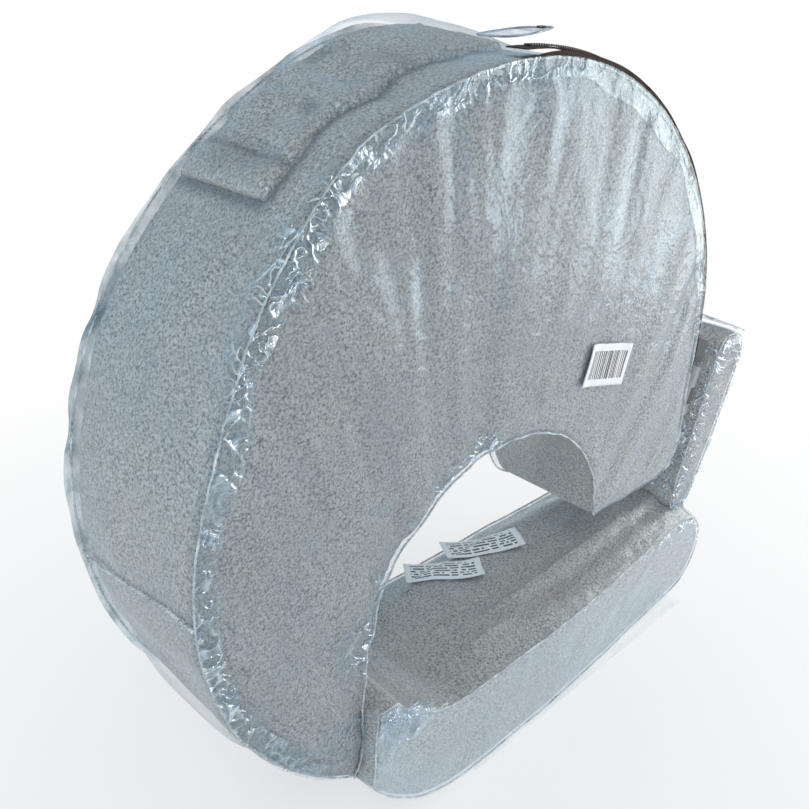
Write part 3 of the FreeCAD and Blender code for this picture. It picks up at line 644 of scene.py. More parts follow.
def wall_sheet(name, tree, outline_run, near_y, far_y, form, bulge=None, over=None, rows_step=0.0028,
               width=44, far_hold=0.0):
    """A strip of the bag round a cushion, from its near side to its far side. over is what it passes over."""
    length = distances(outline_run)[-1]
    rows = max(3, int(length / rows_step))

    def place(u, v):
        x, z = spots_along(outline_run, u * length).T
        return columns(x, near_y + (far_y - near_y) * v, z)

    item = grid(name, rows, width, place)
    points = form(points_of(item))
    across = np.tile(np.linspace(0, 1, width), rows)
    middle = np.sin(across * math.pi)
    creases = ridges(points / np.array([0.030, 0.09, 0.030]), 41) * 0.0012
    crush = ridges(points / 0.012, 43) * 0.0014 * bell(across, 0, 0.10)
    gap = FILM_GAP + creases * middle + crush
    hold = np.maximum(0.75 * smooth_step(0, 0.35, middle), RIM_HOLD * smooth_step(0.3, 0, across))
    hold = np.maximum(hold, far_hold * smooth_step(0.7, 1, across))
    laid = hugged(points, tree, gap, hold)
    laid = eased(item, laid, 0.6 * smooth_step(0.0, 0.25, middle), 2)
    if bulge is not None:
        laid = laid + bulge(laid, across)
    if over is not None:
        laid = raised_over(laid, over)
    set_points(item, laid)
    angle, _ = polar(laid)
    mark(item, "gather", 0.06 + 0.9 * bell(across, 0, 0.10) * bell(angle, 141, 15))
    streaks = ridges(columns(np.radians(angle) * 3.0, across * 9, 0), 45)
    mark(item, "fold", streaks * bell(angle, 99, 16) * smooth_step(0.15, 0.5, across))
    return item


def raised_over(points, tree):
    """Lifts points of the round wall clear of what lies on it, measured straight out from its centre."""
    start_height, reach = 0.03, 0.05
    lifted = points.copy()
    for number, (point, way) in enumerate(zip(points, ring_normals(polar(points)[0]))):
        way = Vector(way)
        spot, _, _, gone = tree.ray_cast(Vector(point) + way * start_height, -way, reach)
        if spot is not None and gone < start_height + FILM_GAP:
            lifted[number] = spot + way * FILM_GAP
    return lifted


def puffy(name, rows, across, place, thickness):
    """A closed soft patch: place(u, v) gives points and outward normals, thickness(u, v) its height."""
    u, v, faces = even_grid(rows, across)
    points, normals = place(u, v)
    top = points + normals * np.broadcast_to(thickness(u, v), len(u))[:, None]
    bottom = points - normals * 0.0006
    count = rows * across
    border = ([k * across for k in range(rows)] + [(rows - 1) * across + k for k in range(1, across)]
              + [k * across + across - 1 for k in range(rows - 2, -1, -1)]
              + [k for k in range(across - 2, 0, -1)])
    rim = [(a, b, b + count, a + count) for a, b in zip(border, border[1:] + border[:1])]
    item = new_object(name, np.vstack([top, bottom]), [*faces, *(faces[:, ::-1] + count), *rim])
    shell = bmesh.new()
    shell.from_mesh(item.data)
    bmesh.ops.recalc_face_normals(shell, faces=shell.faces)
    shell.to_mesh(item.data)
    shell.free()
    return item


def soft_edge(share, sharp=8):
    """1 in the middle of 0..1 and falling to 0 at both ends along a rounded edge."""
    return np.sqrt(np.clip(1 - np.abs(2 * share - 1) ** sharp, 0, 1))


def on_surface(tree, points, inward):
    """Where rays from points along inward meet a cushion, with the surface's normal there."""
    found, facing = points.copy(), -inward.copy()
    for number, (point, way) in enumerate(zip(points, inward)):
        spot, normal, _, _ = tree.ray_cast(Vector(point), Vector(way), 0.06)
        if spot is not None:
            found[number], facing[number] = spot, normal
    return found, facing


# ---------------------------------------------------------------- materials

def linear(red, green, blue):
    """Turns a colour given as 0..255 display values into scene values."""
    return tuple(((c / 255 + 0.055) / 1.055) ** 2.4 if c > 10 else c / 3294.6 for c in (red, green, blue))


class Nodes:
    """A short way to build the nodes of a material or a world."""

    def __init__(self, owner, output="ShaderNodeOutputMaterial"):
        owner.use_nodes = True
        self.owner = owner
        self.tree = owner.node_tree
        self.tree.nodes.clear()
        self.output = self.make(output)
        self.place = self.make("ShaderNodeTexCoord").outputs["Object"]

    def make(self, kind, **values):
        """A node with its inputs linked to other nodes' outputs, or set."""
        item = self.tree.nodes.new(kind)
        for key, value in values.items():
            self.put(value, item.inputs[key.replace("_", " ")])
        return item

    def put(self, value, socket):
        """Links value if it is another node's output, and sets it otherwise."""
        if isinstance(value, bpy.types.NodeSocket):
            self.tree.links.new(value, socket)
        else:
            socket.default_value = value

    def noise(self, scale, detail=2.0, roughness=0.5, distortion=0.0, stretch=(1, 1, 1)):
        moved = self.make("ShaderNodeMapping", Scale=stretch, Vector=self.place)
        return self.make("ShaderNodeTexNoise", Vector=moved.outputs["Vector"], Scale=scale, Detail=detail,
                         Roughness=roughness, Distortion=distortion).outputs["Fac"]

    def maths(self, operation, first, second=0.0, third=0.0):
        item = self.make("ShaderNodeMath")
        item.operation = operation
        for value, socket in zip((first, second, third), item.inputs):
            self.put(value, socket)
        return item.outputs["Value"]

    def spread(self, value, low, high, to_low=0.0, to_high=1.0):
        return self.make("ShaderNodeMapRange", Value=value, From_Min=low, From_Max=high, To_Min=to_low,
                         To_Max=to_high).outputs["Result"]

    def mixed(self, share, first, second):
        item = self.make("ShaderNodeMix")
        item.data_type = "RGBA"
        for value, number in ((share, 0), (first, 6), (second, 7)):
            self.put(value, item.inputs[number])
        return item.outputs[2]

    def bump(self, height, strength, distance, normal=None):
        item = self.make("ShaderNodeBump", Distance=distance, Strength=strength, Height=height)
        if normal is not None:
            self.put(normal, item.inputs["Normal"])
        return item.outputs["Normal"]

    def along(self, direction, origin=(0, 0, 0)):
        """How far a point is along a direction from an origin, in metres."""
        item = self.make("ShaderNodeVectorMath")
        item.operation = "DOT_PRODUCT"
        self.put(self.place, item.inputs[0])
        self.put(direction, item.inputs[1])
        return self.maths("SUBTRACT", item.outputs["Value"], Vector(direction).dot(Vector(origin)))

    def attribute(self, name):
        item = self.make("ShaderNodeAttribute")
        item.attribute_name = name
        return item.outputs["Fac"]

    def finish(self, **values):
        surface = self.make("ShaderNodeBsdfPrincipled", **values)
        self.put(surface.outputs["BSDF"], self.output.inputs["Surface"])
        return self.owner


def new_material(name):
    return Nodes(bpy.data.materials.new(name))


def shade(colour, factor):
    return tuple(min(1.0, c * factor) for c in colour) + (1.0,)


# The dark colour that painted shade is mixed towards.
DEEP_SHADE = (0.045, 0.055, 0.062, 1)


def plush_material(name, colour):
    """Short curly plush: a mottled nap of two sizes with soft sheen. The "shade" attribute darkens it with
    painted shade.
    """
    nodes = new_material(name)
    curls = nodes.noise(640.0, 3.0, 0.6, 0.6)
    fibres = nodes.noise(2100.0, 2.0, 0.6)
    patches = nodes.noise(16.0, 3.0, 0.55)
    nap_tone = nodes.mixed(nodes.spread(curls, 0.34, 0.58), shade(colour, 0.28), shade(colour, 1.36))
    worn = nodes.mixed(nodes.spread(patches, 0.3, 0.7, 0.0, 0.35), nap_tone, shade(colour, 0.84))
    # Painted shade: where the "shade" attribute is set, the nap colour is mixed towards DEEP_SHADE.
    shaded = nodes.maths("MULTIPLY", nodes.attribute("shade"), 0.62)
    nap_with_painted_shade = nodes.mixed(shaded, worn, DEEP_SHADE)
    coarse = nodes.bump(curls, 1.0, 0.0024)
    fine = nodes.bump(fibres, 0.45, 0.0005, coarse)
    return nodes.finish(Base_Color=nap_with_painted_shade, Roughness=0.95, Normal=fine, Sheen_Weight=0.25,
                        Sheen_Roughness=0.6, Specular_IOR_Level=0.12)


def film_material(name, base_alpha, colour, bump_depth, stretch, fold_alpha=0.10):
    """Clear vinyl: see-through face on, bright at a glance, with sharp creases where it gathers, whose crests
    carry painted glints.
    """
    nodes = new_material(name)
    gather = nodes.attribute("gather")
    broad = nodes.noise(26.0, 2.0, 0.5, 1.6)
    tight = nodes.noise(62.0, 1.5, 0.5, 1.4)
    crests = [(nodes.maths("ABSOLUTE", nodes.maths("SUBTRACT", value, 0.5)), width)
              for value, width in ((tight, 0.07), (broad, 0.10))]
    crest, broad_crest = [nodes.spread(away, 0.0, width, 1.0, 0.0) for away, width in crests]
    soft = nodes.bump(broad_crest, 0.25, 0.0016 * bump_depth)
    fold = nodes.maths("POWER", nodes.attribute("fold"), 2.0)
    strength = nodes.spread(gather, 0.08, 0.6, 0.0, 1.0)
    normal = nodes.bump(crest, strength, 0.0020 * bump_depth, soft)
    facing = nodes.make("ShaderNodeLayerWeight", Blend=0.5)
    glance = nodes.maths("MULTIPLY", nodes.maths("POWER", facing.outputs["Facing"], 4.0), 0.55)
    # Painted highlight: along the crests of the tight creases, where the film gathers, the colour turns white
    # and the film more opaque, as glints. The "fold" attribute adds opacity along folds, as painted
    # reflection streaks.
    bright = nodes.maths("MULTIPLY", crest, strength)
    tint = nodes.mixed(nodes.maths("POWER", bright, 2.0), colour, (0.95, 0.98, 1.0, 1))
    painted_glint_and_streak_alpha = nodes.maths("MULTIPLY", bright, 0.80)
    painted_glint_and_streak_alpha = nodes.maths("ADD", painted_glint_and_streak_alpha, nodes.maths("MULTIPLY", fold, fold_alpha))
    streaks = nodes.noise(75.0, 3.0, 0.6, 0.4, stretch)
    haze = nodes.spread(streaks, 0.35, 0.75, base_alpha * 0.7, base_alpha * 2.0)
    alpha = nodes.maths("ADD", nodes.maths("ADD", glance, painted_glint_and_streak_alpha), haze)
    gloss = nodes.spread(strength, 0.0, 0.6, 0.22, 0.06)
    return nodes.finish(Base_Color=tint, Metallic=0.85, Roughness=gloss, Normal=normal,
                        Alpha=nodes.maths("MINIMUM", alpha, 1.0))


def cord_material(name, colour, alpha):
    nodes = new_material(name)
    twist = nodes.noise(420.0, 1.0, 0.5, 0.4)
    normal = nodes.bump(twist, 0.8, 0.0006)
    worn = nodes.noise(90.0, 3.0, 0.6)
    tone = nodes.mixed(nodes.spread(worn, 0.35, 0.65), shade(colour, 0.62), shade(colour, 1.25))
    return nodes.finish(Base_Color=tone, Roughness=0.16, Specular_IOR_Level=0.7, Normal=normal, Alpha=alpha)


def woven_material(name, colour, direction, across, pitch, roughness=0.7):
    """A flat weave with rows along one direction and another, pitch apart."""
    nodes = new_material(name)
    turn = 2 * math.pi / pitch
    warp = nodes.maths("SINE", nodes.maths("MULTIPLY", nodes.along(direction), turn))
    weft = nodes.maths("SINE", nodes.maths("MULTIPLY", nodes.along(across), turn))
    weave = nodes.maths("MULTIPLY", warp, weft)
    dust = nodes.noise(700.0, 2.0, 0.6)
    tone = nodes.mixed(nodes.spread(weave, -1.0, 1.0), shade(colour, 0.72), shade(colour, 1.2))
    worn = nodes.mixed(nodes.spread(dust, 0.3, 0.7, 0.0, 0.4), tone, shade(colour, 0.85))
    normal = nodes.bump(weave, 0.8, pitch * 0.3)
    return nodes.finish(Base_Color=worn, Roughness=roughness, Normal=normal)


def toothed_material(name, colour, pitch, around=None, metallic=0.0):
    """Zip teeth: ridges pitch apart along X, or round a circle about (0, height, radius)."""
    nodes = new_material(name)
    if around is None:
        gone = nodes.along((1, 0, 0))
    else:
        angle = nodes.maths("ARCTAN2", nodes.along((0, 0, 1), (0, 0, around[0])), nodes.along((1, 0, 0)))
        gone = nodes.maths("MULTIPLY", angle, around[1])
    wave = nodes.maths("SINE", nodes.maths("MULTIPLY", gone, 2 * math.pi / pitch))
    tone = nodes.mixed(nodes.spread(wave, -0.6, 0.6), shade(colour, 0.45), shade(colour, 1.25))
    normal = nodes.bump(wave, 1.0, pitch * 0.5)
    return nodes.finish(Base_Color=tone, Roughness=0.38, Metallic=metallic, Normal=normal)


def moulded_material(name, colour, roughness=0.38, metallic=0.0):
    """Moulded plastic or cast metal with a fine grain and rubbed patches."""
    nodes = new_material(name)
    grain = nodes.noise(900.0, 3.0, 0.6)
    rubbed = nodes.noise(45.0, 3.0, 0.6)
    tone = nodes.mixed(nodes.spread(rubbed, 0.35, 0.7), shade(colour, 0.85), shade(colour, 1.15))
    gloss = nodes.spread(rubbed, 0.3, 0.7, roughness * 0.8, roughness * 1.25)
    normal = nodes.bump(grain, 0.25, 0.0002)
    return nodes.finish(Base_Color=tone, Roughness=gloss, Metallic=metallic, Normal=normal)


def floor_material():
    nodes = new_material("floor_white")
    dust = nodes.noise(3.0, 3.0, 0.5)
    tone = nodes.mixed(dust, (0.90, 0.90, 0.90, 1), (0.94, 0.94, 0.94, 1))
    squares = [nodes.maths("POWER", nodes.along(axis), 2.0) for axis in ((1, 0, 0), (0, 1, 0))]
    far_off = nodes.maths("SQRT", nodes.maths("ADD", *squares))
    fade = nodes.spread(far_off, 0.15, 0.80, 0.58, 1.0)
    return nodes.finish(Base_Color=nodes.mixed(fade, tone, (0, 0, 0, 1)), Roughness=0.95,
                        Specular_IOR_Level=0.0, Emission_Color=(1, 1, 1, 1), Emission_Strength=fade)


def printed_material(name, paper, ink, direction, across, origin, size, rows, upright=False):
    """Paper or satin printed with plain marks: text-like dashes in rows, or upright bars."""
    nodes = new_material(name)
    gone = nodes.maths("DIVIDE", nodes.along(direction, origin), size[0])
    down = nodes.maths("DIVIDE", nodes.along(across, origin), size[1])
    cells = nodes.maths("MULTIPLY", gone, 25.0 if upright else 34.0)
    line = nodes.maths("MULTIPLY", down, rows)
    random = nodes.make("ShaderNodeTexWhiteNoise")
    random.noise_dimensions = "2D"
    both = nodes.make("ShaderNodeCombineXYZ", X=nodes.maths("FLOOR", cells))
    if upright:
        width = nodes.spread(random.outputs["Value"], 0.0, 1.0, 0.25, 0.80)
        inked = nodes.maths("LESS_THAN", nodes.maths("FRACT", cells), width)
        margins = (0.43, 0.33)
    else:
        nodes.put(nodes.maths("FLOOR", line), both.inputs["Y"])
        inked = nodes.maths("GREATER_THAN", random.outputs["Value"], 0.28)
        inked = nodes.maths("MULTIPLY", inked, nodes.maths("GREATER_THAN", nodes.maths("FRACT", line), 0.52))
        margins = (0.42, 0.40)
    nodes.put(both.outputs["Vector"], random.inputs["Vector"])
    for value, edge in zip((gone, down), margins):
        inked = nodes.maths("MULTIPLY", inked, nodes.maths("LESS_THAN", nodes.maths("ABSOLUTE", value), edge))
    fibre = nodes.noise(900.0, 2.0, 0.6)
    tone = nodes.mixed(nodes.spread(fibre, 0.35, 0.65), shade(paper, 0.94), shade(paper, 1.02))
    return nodes.finish(Base_Color=nodes.mixed(inked, tone, shade(ink, 1.0)), Roughness=0.55,
                        Normal=nodes.bump(fibre, 0.3, 0.0002))


def paint(item, material):
    item.data.materials.clear()
    item.data.materials.append(material)


def dress(item, body, material, slot, *nodes):
    """Paints a piece, gives it a body, and lets it stand for CAD nodes. slot, naming its finish, is not used.
    """
    paint(item, material)
    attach(item, body)
    if nodes:
        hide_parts(*nodes)
    return item


PLUSH = plush_material("plush_grey", linear(200, 198, 194))
FILM = film_material("clear_film", 0.070, (0.44, 0.60, 0.74, 1), 1.0, (0.6, 1.0, 0.3), 0.07)
# A brighter, bluer copy of the clear film for the backrest's near face: painted light and reflection.
REST_FILM_PAINTED_BRIGHT = film_material("clear_film_rest_painted_bright", 0.20, (0.76, 0.90, 1.0, 1), 1.0, (0.15, 1.0, 0.15), 0.14)
SOFT_FILM = film_material("clear_film_soft", 0.095, (0.50, 0.62, 0.68, 1), 0.7, (0.15, 1.0, 0.15), 0.40)
SEAM_FILM = film_material("seam_film", 0.16, (0.40, 0.50, 0.56, 1), 1.0, (0.5, 1.0, 0.5))
FLANGE_FILM = film_material("flange_film", 0.50, (0.42, 0.58, 0.64, 1), 0.4, (0.5, 1.0, 0.5))
CORD = cord_material("clear_cord", (0.76, 0.82, 0.86), 0.72)
PAPER_WHITE, INK = (0.86, 0.87, 0.87), (0.015, 0.015, 0.02)
BROWN = (0.040, 0.018, 0.014)
BUCKLE_GREY = (0.36, 0.36, 0.355)
NODE_MATERIALS = {
    "bag_zip_tape": woven_material("zip_tape_brown", BROWN, (1, 0, 0.4), (0, 1, 0), 0.0011),
    "bag_zip_coil": toothed_material("zip_coil_brown", BROWN, 0.0022, (RING_Z, OUTER_R)),
    "bag_zip_slider": moulded_material("zip_slider_brown", (0.05, 0.03, 0.026)),
    "bag_zip_pull": moulded_material("zip_pull_brown", (0.06, 0.035, 0.03)),
    "cover_zip_tape": woven_material("zip_tape_grey", (0.40, 0.39, 0.37), (1, 0, 0), (0, 0, 1), 0.0011),
    "cover_zip_coil": toothed_material("zip_coil_grey", (0.46, 0.45, 0.43), 0.0022),
    "cover_zip_slider": moulded_material("zip_slider_metal", (0.58, 0.57, 0.55), 0.3, 1.0),
    "cover_zip_pull": moulded_material("zip_pull_metal", (0.58, 0.57, 0.55), 0.32, 1.0),
    "strap_webbing": woven_material("webbing_grey", (0.36, 0.35, 0.34), (0, 1, 0), (0, 0, 1), 0.0018),
    "strap_keeper": moulded_material("keeper_plastic", BUCKLE_GREY),
    "buckle_tongue": moulded_material("tongue_plastic", BUCKLE_GREY),
    "buckle_socket": moulded_material("socket_plastic", BUCKLE_GREY),
    "buckle_prong_near": moulded_material("prong_plastic", BUCKLE_GREY),
    "buckle_prong_far": moulded_material("prong_plastic_far", BUCKLE_GREY),
    "strap_anchor_patch": plush_material("patch_plush", linear(172, 168, 163)),
    "socket_loop_patch": woven_material("loop_webbing", (0.36, 0.35, 0.34), (0, 1, 0), (0, 0, 1), 0.0018),
    "bag_base_panel": SOFT_FILM,
}


# ---------------------------------------------------------------- the crescent

crescent = crescent_cushion()
dress(crescent, "crescent", PLUSH, "plush", "crescent_foam_core", "cover_near_panel", "cover_far_panel",
      "cover_side_band")
wall_tree = tree_of(crescent)


POCKET_START, POCKET_SPAN = 88, 44          # degrees round the wall
POCKET_FAR = 0.050
POCKET_TALLEST = 0.0085


def pocket_edge(angle):
    """Where the pocket's wavy near edge lies along Y, at an angle round the wall."""
    return -0.022 + 0.004 * noise(columns(angle / 6, 0, 0), 51)


def pocket_place(u, v):
    """Over the top of the wall, from its right end to its hem at the left, near edge to far edge."""
    angle = POCKET_START + POCKET_SPAN * u
    near = pocket_edge(angle)
    outside = ring_points(angle, near + (POCKET_FAR - near) * v, OUTER_R + 0.02)
    return on_surface(wall_tree, outside, -ring_normals(angle))


def pocket_folds(u, v):
    sway = noise(columns(u * 4, v * 2, 0), 57)
    return noise(columns(u * 11 + 0.8 * sway, v * 2.4 + 0.6 * sway, 0), 53)


def pocket_thickness(u, v):
    hem = bell(u, 0.955, 0.05) * soft_edge(v, 10)
    body = 0.0060 * soft_edge(0.02 + 0.96 * u, 30) * soft_edge(v, 12)
    inner = soft_edge(u, 6) * soft_edge(v, 4)
    puckers = 0.0044 * pocket_folds(u, v) * inner
    crests = ridges(columns(u * 7 + v * 2.5, v * 1.6, 0), 55)
    tucks = 0.0050 * smooth_step(0.25, 0.95, crests) * bell(v, 0.7, 0.35) * inner
    gathers = 0.0026 * ridges(columns(u * 30, v * 2, 0), 59) * bell(v, 0.04, 0.10) * soft_edge(u, 8)
    height = np.maximum(body + 0.0040 * hem + puckers + tucks + gathers + 0.0004, 0.0004)
    return POCKET_TALLEST * np.tanh(height / POCKET_TALLEST)


def pocket_shade(u, v):
    """Painted shade: darker in the tucks and in the crease along the hem's stitching."""
    hollows = smooth_step(0.15, 0.75, -pocket_folds(u, v)) * soft_edge(u, 6)
    return np.clip(0.55 * hollows + 0.75 * bell(u, 0.885, 0.010), 0, 1)


def painted_pocket_shadow(points):
    """Painted shadow: dark on the wall where the pocket's edges press on it."""
    angle, radius = polar(points)
    on_wall = smooth_step(0.215, 0.235, radius)
    past_hem = np.radians(angle - (POCKET_START + POCKET_SPAN + 0.4)) * OUTER_R
    hem = bell(past_hem, 0.0005, 0.0042) * smooth_step(-0.026, -0.020, points[:, 1])
    mouth = bell(points[:, 1], pocket_edge(angle) - 0.001, 0.0042)
    mouth *= smooth_step(86, 92, angle) * smooth_step(134, 131, angle)
    return np.maximum(hem, mouth) * on_wall


def painted_face_shade(points):
    """Painted shade on the near face, darkest at its left end and fading out by its middle."""
    on_face = smooth_step(0.004, -0.004, points[:, 1] + HALF_THICK - 0.006)
    return 0.42 * on_face * smooth_step(0.20, -0.10, points[:, 0])


pocket = puffy("pocket_cloth", 110, 60, pocket_place, pocket_thickness)
pocket_u, pocket_v, _ = even_grid(110, 60)
mark(pocket, "shade", np.tile(pocket_shade(pocket_u, pocket_v), 2))
dress(pocket, "crescent", PLUSH, "plush", "pocket_panel", "pocket_binding")
# The crescent's painted shade: painted shadow along the pocket's edges and painted shade over the near face's
# left part.
crescent_points = points_of(crescent)
mark(crescent, "shade", np.maximum(painted_pocket_shadow(crescent_points), painted_face_shade(crescent_points)))


def merged(items):
    """The points and faces of several meshes as one."""
    verts, faces = [], []
    for item in items:
        start = len(verts)
        verts += [tuple(v) for v in points_of(item)]
        faces += [tuple(start + k for k in face.vertices) for face in item.data.polygons]
    return verts, faces


def tree_of_all(*items):
    """One search tree over several meshes."""
    return BVHTree.FromPolygons(*merged(items))


near_y = -HALF_THICK - 0.0012
far_y = HALF_THICK + 0.0016
film_outline = crescent_outline(-FILM_OUT)


def near_bunch(points, edge):
    angle, _ = polar(points)
    rim = 0.14 + 1.3 * bell(angle, 141, 16) + 0.6 * bell(angle, 100, 9) + 0.5 * bell(angle, 195, 28)
    corner = np.hypot(points[:, 0] + 0.125, points[:, 2] - 0.150)
    patches = smooth_step(-0.5, 0.5, noise(points / 0.028, 61))
    return np.clip((bell(edge, 0.004, 0.013) * rim + 0.7 * bell(corner, 0, 0.035)) * patches, 0, 1)


film_near = film_panel("film_near", wall_tree, film_outline, near_y, crescent_form, 1.0, near_bunch)
dress(film_near, "crescent", FILM, "film", "bag_near_panel")


film_far = flat_sheet("film_far", film_outline, far_y, 0.0034)
far_points = crescent_form(points_of(film_far))
far_points[:, 1] += 0.0018 * ridges(far_points / np.array([0.02, 1, 0.06]), 63)
set_points(film_far, far_points)
mark(film_far, "gather", 0.15)
dress(film_far, "crescent", SOFT_FILM, "film", "bag_far_panel")


def top_bulge(points, across):
    """The bag stands off the top of the crescent on its far side, and is loose low on the left."""
    angle, _ = polar(points)
    lift = 0.013 * bell(angle, 99, 13) * smooth_step(0.22, 0.55, across) * smooth_step(1.25, 0.75, across)
    lift += 0.005 * bell(angle, 208, 14) * np.sin(across * math.pi)
    lift += 0.0016 * noise(points / np.array([0.03, 0.05, 0.03]), 65) * lift / 0.013
    return ring_normals(angle) * lift[:, None]


outer_run = arc_points(0, RING_Z, OUTER_R + FILM_OUT, 0, 233)
film_outer = wall_sheet("film_outer", wall_tree, outer_run, near_y, far_y, crescent_form, top_bulge,
                        tree_of_all(pocket))
dress(film_outer, "crescent", SOFT_FILM, "film", "bag_outer_gusset")
waist_run = arc_points(0, WAIST_Z, WAIST_R - FILM_OUT, 2, 176)
film_waist = wall_sheet("film_waist", wall_tree, waist_run, near_y, far_y, crescent_form)
dress(film_waist, "crescent", SOFT_FILM, "film", "bag_waist_gusset")


def twisted(name, path, radius):
    """Two fine strands twisted round a path."""
    length, step, twist = distances(path)[-1], 0.0012, 0.008
    even = np.linspace(0, length, max(8, int(length / step)))
    phase = 2 * math.pi * max(1, round(length / twist)) * even / length
    strands = []
    for number in (0, 1):
        angle = phase + number * math.pi
        shift = columns(np.cos(angle) * 0.7, np.sin(angle), np.cos(angle) * 0.7) * radius * 0.6
        strands.append(tube(f"{name}_{number}", spots_along(path, even) + shift, radius * 0.62, 6))
    return joined(name, strands)


def joined(name, items):
    """One object from several."""
    verts, faces = merged(items)
    for item in items:
        bpy.data.objects.remove(item)
    return new_object(name, verts, faces)


def seam_path(outline, y):
    x, z = np.vstack([outline, outline[:1]]).T
    return columns(x, y, z)


CORD_R = 0.0008
for side, y in (("near", near_y - 0.0003), ("far", far_y + 0.0005)):
    seam = crescent_form(seam_path(crescent_outline(-FILM_OUT - 0.0002), y))
    if side == "near":
        seam = drawn_in(seam, wall_tree)
    cord = twisted(f"cord_{side}", seam, CORD_R)
    dress(cord, "crescent", CORD, "bead", f"{side}_outer_weld_bead", f"{side}_waist_weld_bead")


def allowance():
    """The film turned in along the near seam: a second layer that follows the rim."""
    along, across = 520, 9

    def place(u, v):
        angle = 4 + 227 * u
        reach = 0.016 * (0.85 + 0.25 * noise(columns(angle / 9, 0, 0), 71))
        return crescent_form(ring_points(angle, near_y - 0.0006, OUTER_R + FILM_OUT - reach * v))

    item = grid("film_near_allowance", along, across, place)
    points = points_of(item)
    angle, _ = polar(points)
    strong = 0.16 + 0.8 * bell(angle, 141, 16) + 0.4 * bell(angle, 98, 9) + 0.35 * bell(angle, 195, 28)
    crush = (ridges(points / 0.011, 73) * 0.0022 + ridges(points / 0.005, 75) * 0.001) * strong
    inward = np.tile(np.linspace(0, 1, across), along)
    laid = hugged(points, wall_tree, FILM_GAP + 0.0010, smooth_step(0.1, 0.6, inward))
    laid[:, 1] -= crush
    set_points(item, laid)
    mark(item, "gather", np.clip(strong, 0, 1))
    return item


dress(allowance(), "crescent", SEAM_FILM, "film")


def far_flange():
    """The film turned out beyond the far weld: a narrow wavy rim that stands proud of the bag."""
    def place(u, v):
        angle = 3 + 228 * u
        reach = 0.0036 * (1 + 0.35 * noise(columns(angle / 8, 0, 0), 77))
        y = far_y + 0.0008 + 0.0016 * v * noise(columns(angle / 4, 0, 0), 79)
        return crescent_form(ring_points(angle, y, OUTER_R + FILM_OUT - 0.0060 + (0.006 + reach) * v))

    item = grid("film_far_flange", 460, 6, place)
    mark(item, "gather", 0.09)
    return item


dress(far_flange(), "crescent", FLANGE_FILM, "film")


def tape_edge():
    """The brown edge of the zip's tape, caught beside the near seam and standing just proud of it."""
    def place(u, v):
        angle = -4 + 96 * u
        reach = 0.0042 * soft_edge(u, 6) * (1 + 0.2 * noise(columns(angle / 7, 0, 0), 83))
        y = near_y + 0.0016 + 0.0008 * np.cos(2 * math.pi * v)
        return crescent_form(ring_points(angle, y, OUTER_R + FILM_OUT - 0.001 + reach * np.sin(math.pi * v)))

    return grid("bag_zip_tape_edge", 220, 13, place)


dress(tape_edge(), "crescent", NODE_MATERIALS["bag_zip_tape"], "zip_brown")

cross_share = np.linspace(0.0, 1.0, 60)
cross_angle = 183.5 + 3.5 * smooth_step(0.1, 1.0, cross_share)
cross_y = near_y + (far_y - near_y) * cross_share
cross_path = crescent_form(ring_points(cross_angle, cross_y, OUTER_R + FILM_OUT + 0.0012))
dress(twisted("cord_cross", cross_path, 0.0009), "crescent", CORD, "bead")

# ---------------------------------------------------------------- the backrest

rest = backrest_cushion()
dress(rest, "backrest", PLUSH, "plush", "backrest_foam_core", "backrest_near_panel", "backrest_far_panel",
      "backrest_side_band")
rest_tree = tree_of(rest)
rest_film_y = REST_HALF + 0.0014
REST_OUT = 0.0013


def rest_bunch(points, edge):
    corner = np.hypot(points[:, 0] + 0.118, points[:, 2] - 0.120)
    nose = 0.5 * bell(points[:, 0], 0.30, 0.04)
    patches = smooth_step(-0.4, 0.6, noise(points / 0.03, 81))
    return np.clip((bell(edge, 0, 0.010) * (0.35 + nose) + 0.9 * bell(corner, 0, 0.035)) * patches, 0, 1)


for side, sign in (("near", -1), ("far", 1)):
    panel = film_panel(f"film_rest_{side}", rest_tree, backrest_outline(-REST_OUT), sign * rest_film_y,
                       rest_form, 0.8, rest_bunch)
    dress(panel, "backrest", REST_FILM_PAINTED_BRIGHT if side == "near" else SOFT_FILM, "film", f"bag_rest_{side}_panel")
    seam = rest_form(seam_path(backrest_outline(-REST_OUT - 0.0002), sign * (rest_film_y + 0.0004)))
    cord = twisted(f"cord_rest_{side}", drawn_in(seam, rest_tree), CORD_R)
    dress(cord, "backrest", CORD, "bead", f"bag_rest_{side}_bead")
wrap_run = backrest_outline(-REST_OUT)
wrap_run = np.vstack([wrap_run, wrap_run[:1]])
film_wrap = wall_sheet("film_rest_wrap", rest_tree, wrap_run, -rest_film_y, rest_film_y, rest_form,
                       far_hold=RIM_HOLD)
wrap_points = points_of(film_wrap)
wrap_points[:, 2] = np.maximum(wrap_points[:, 2], 0.0008)
set_points(film_wrap, wrap_points)
dress(film_wrap, "backrest", SOFT_FILM, "film", "bag_rest_gusset")

CREASE_ORIGIN = np.array([-0.122, 0.124])


def crease_fan():
    """Spare film at the corner where the two cushions meet, pulled into sharp creases that fan out."""
    rays, steps = 120, 34

    def place(u, v):
        turn = np.radians(-96 + 92 * u)
        reach = 0.058 * v * (0.8 + 0.3 * noise(columns(u * 5, 0, 0), 85))
        ridge = ridges(columns(u * 9, v * 0.8, 0), 87)
        depth = 0.0008 + 0.0038 * ridge * np.sin(math.pi * np.sqrt(v))
        return columns(CREASE_ORIGIN[0] + reach * np.cos(turn), -rest_film_y - 0.0008 - depth,
                       CREASE_ORIGIN[1] + reach * np.sin(turn))

    item = grid("film_crease_fan", rays, steps, place)
    set_points(item, hugged(points_of(item), rest_tree, FILM_GAP + 0.0012, 0.0))
    mark(item, "gather", 0.45)
    gone = np.linspace(0, 11, steps)
    mark(item, "fold", np.tile(ridges(columns(gone, gone, gone), 89), rays))
    return item


dress(crease_fan(), "backrest", FILM, "film")

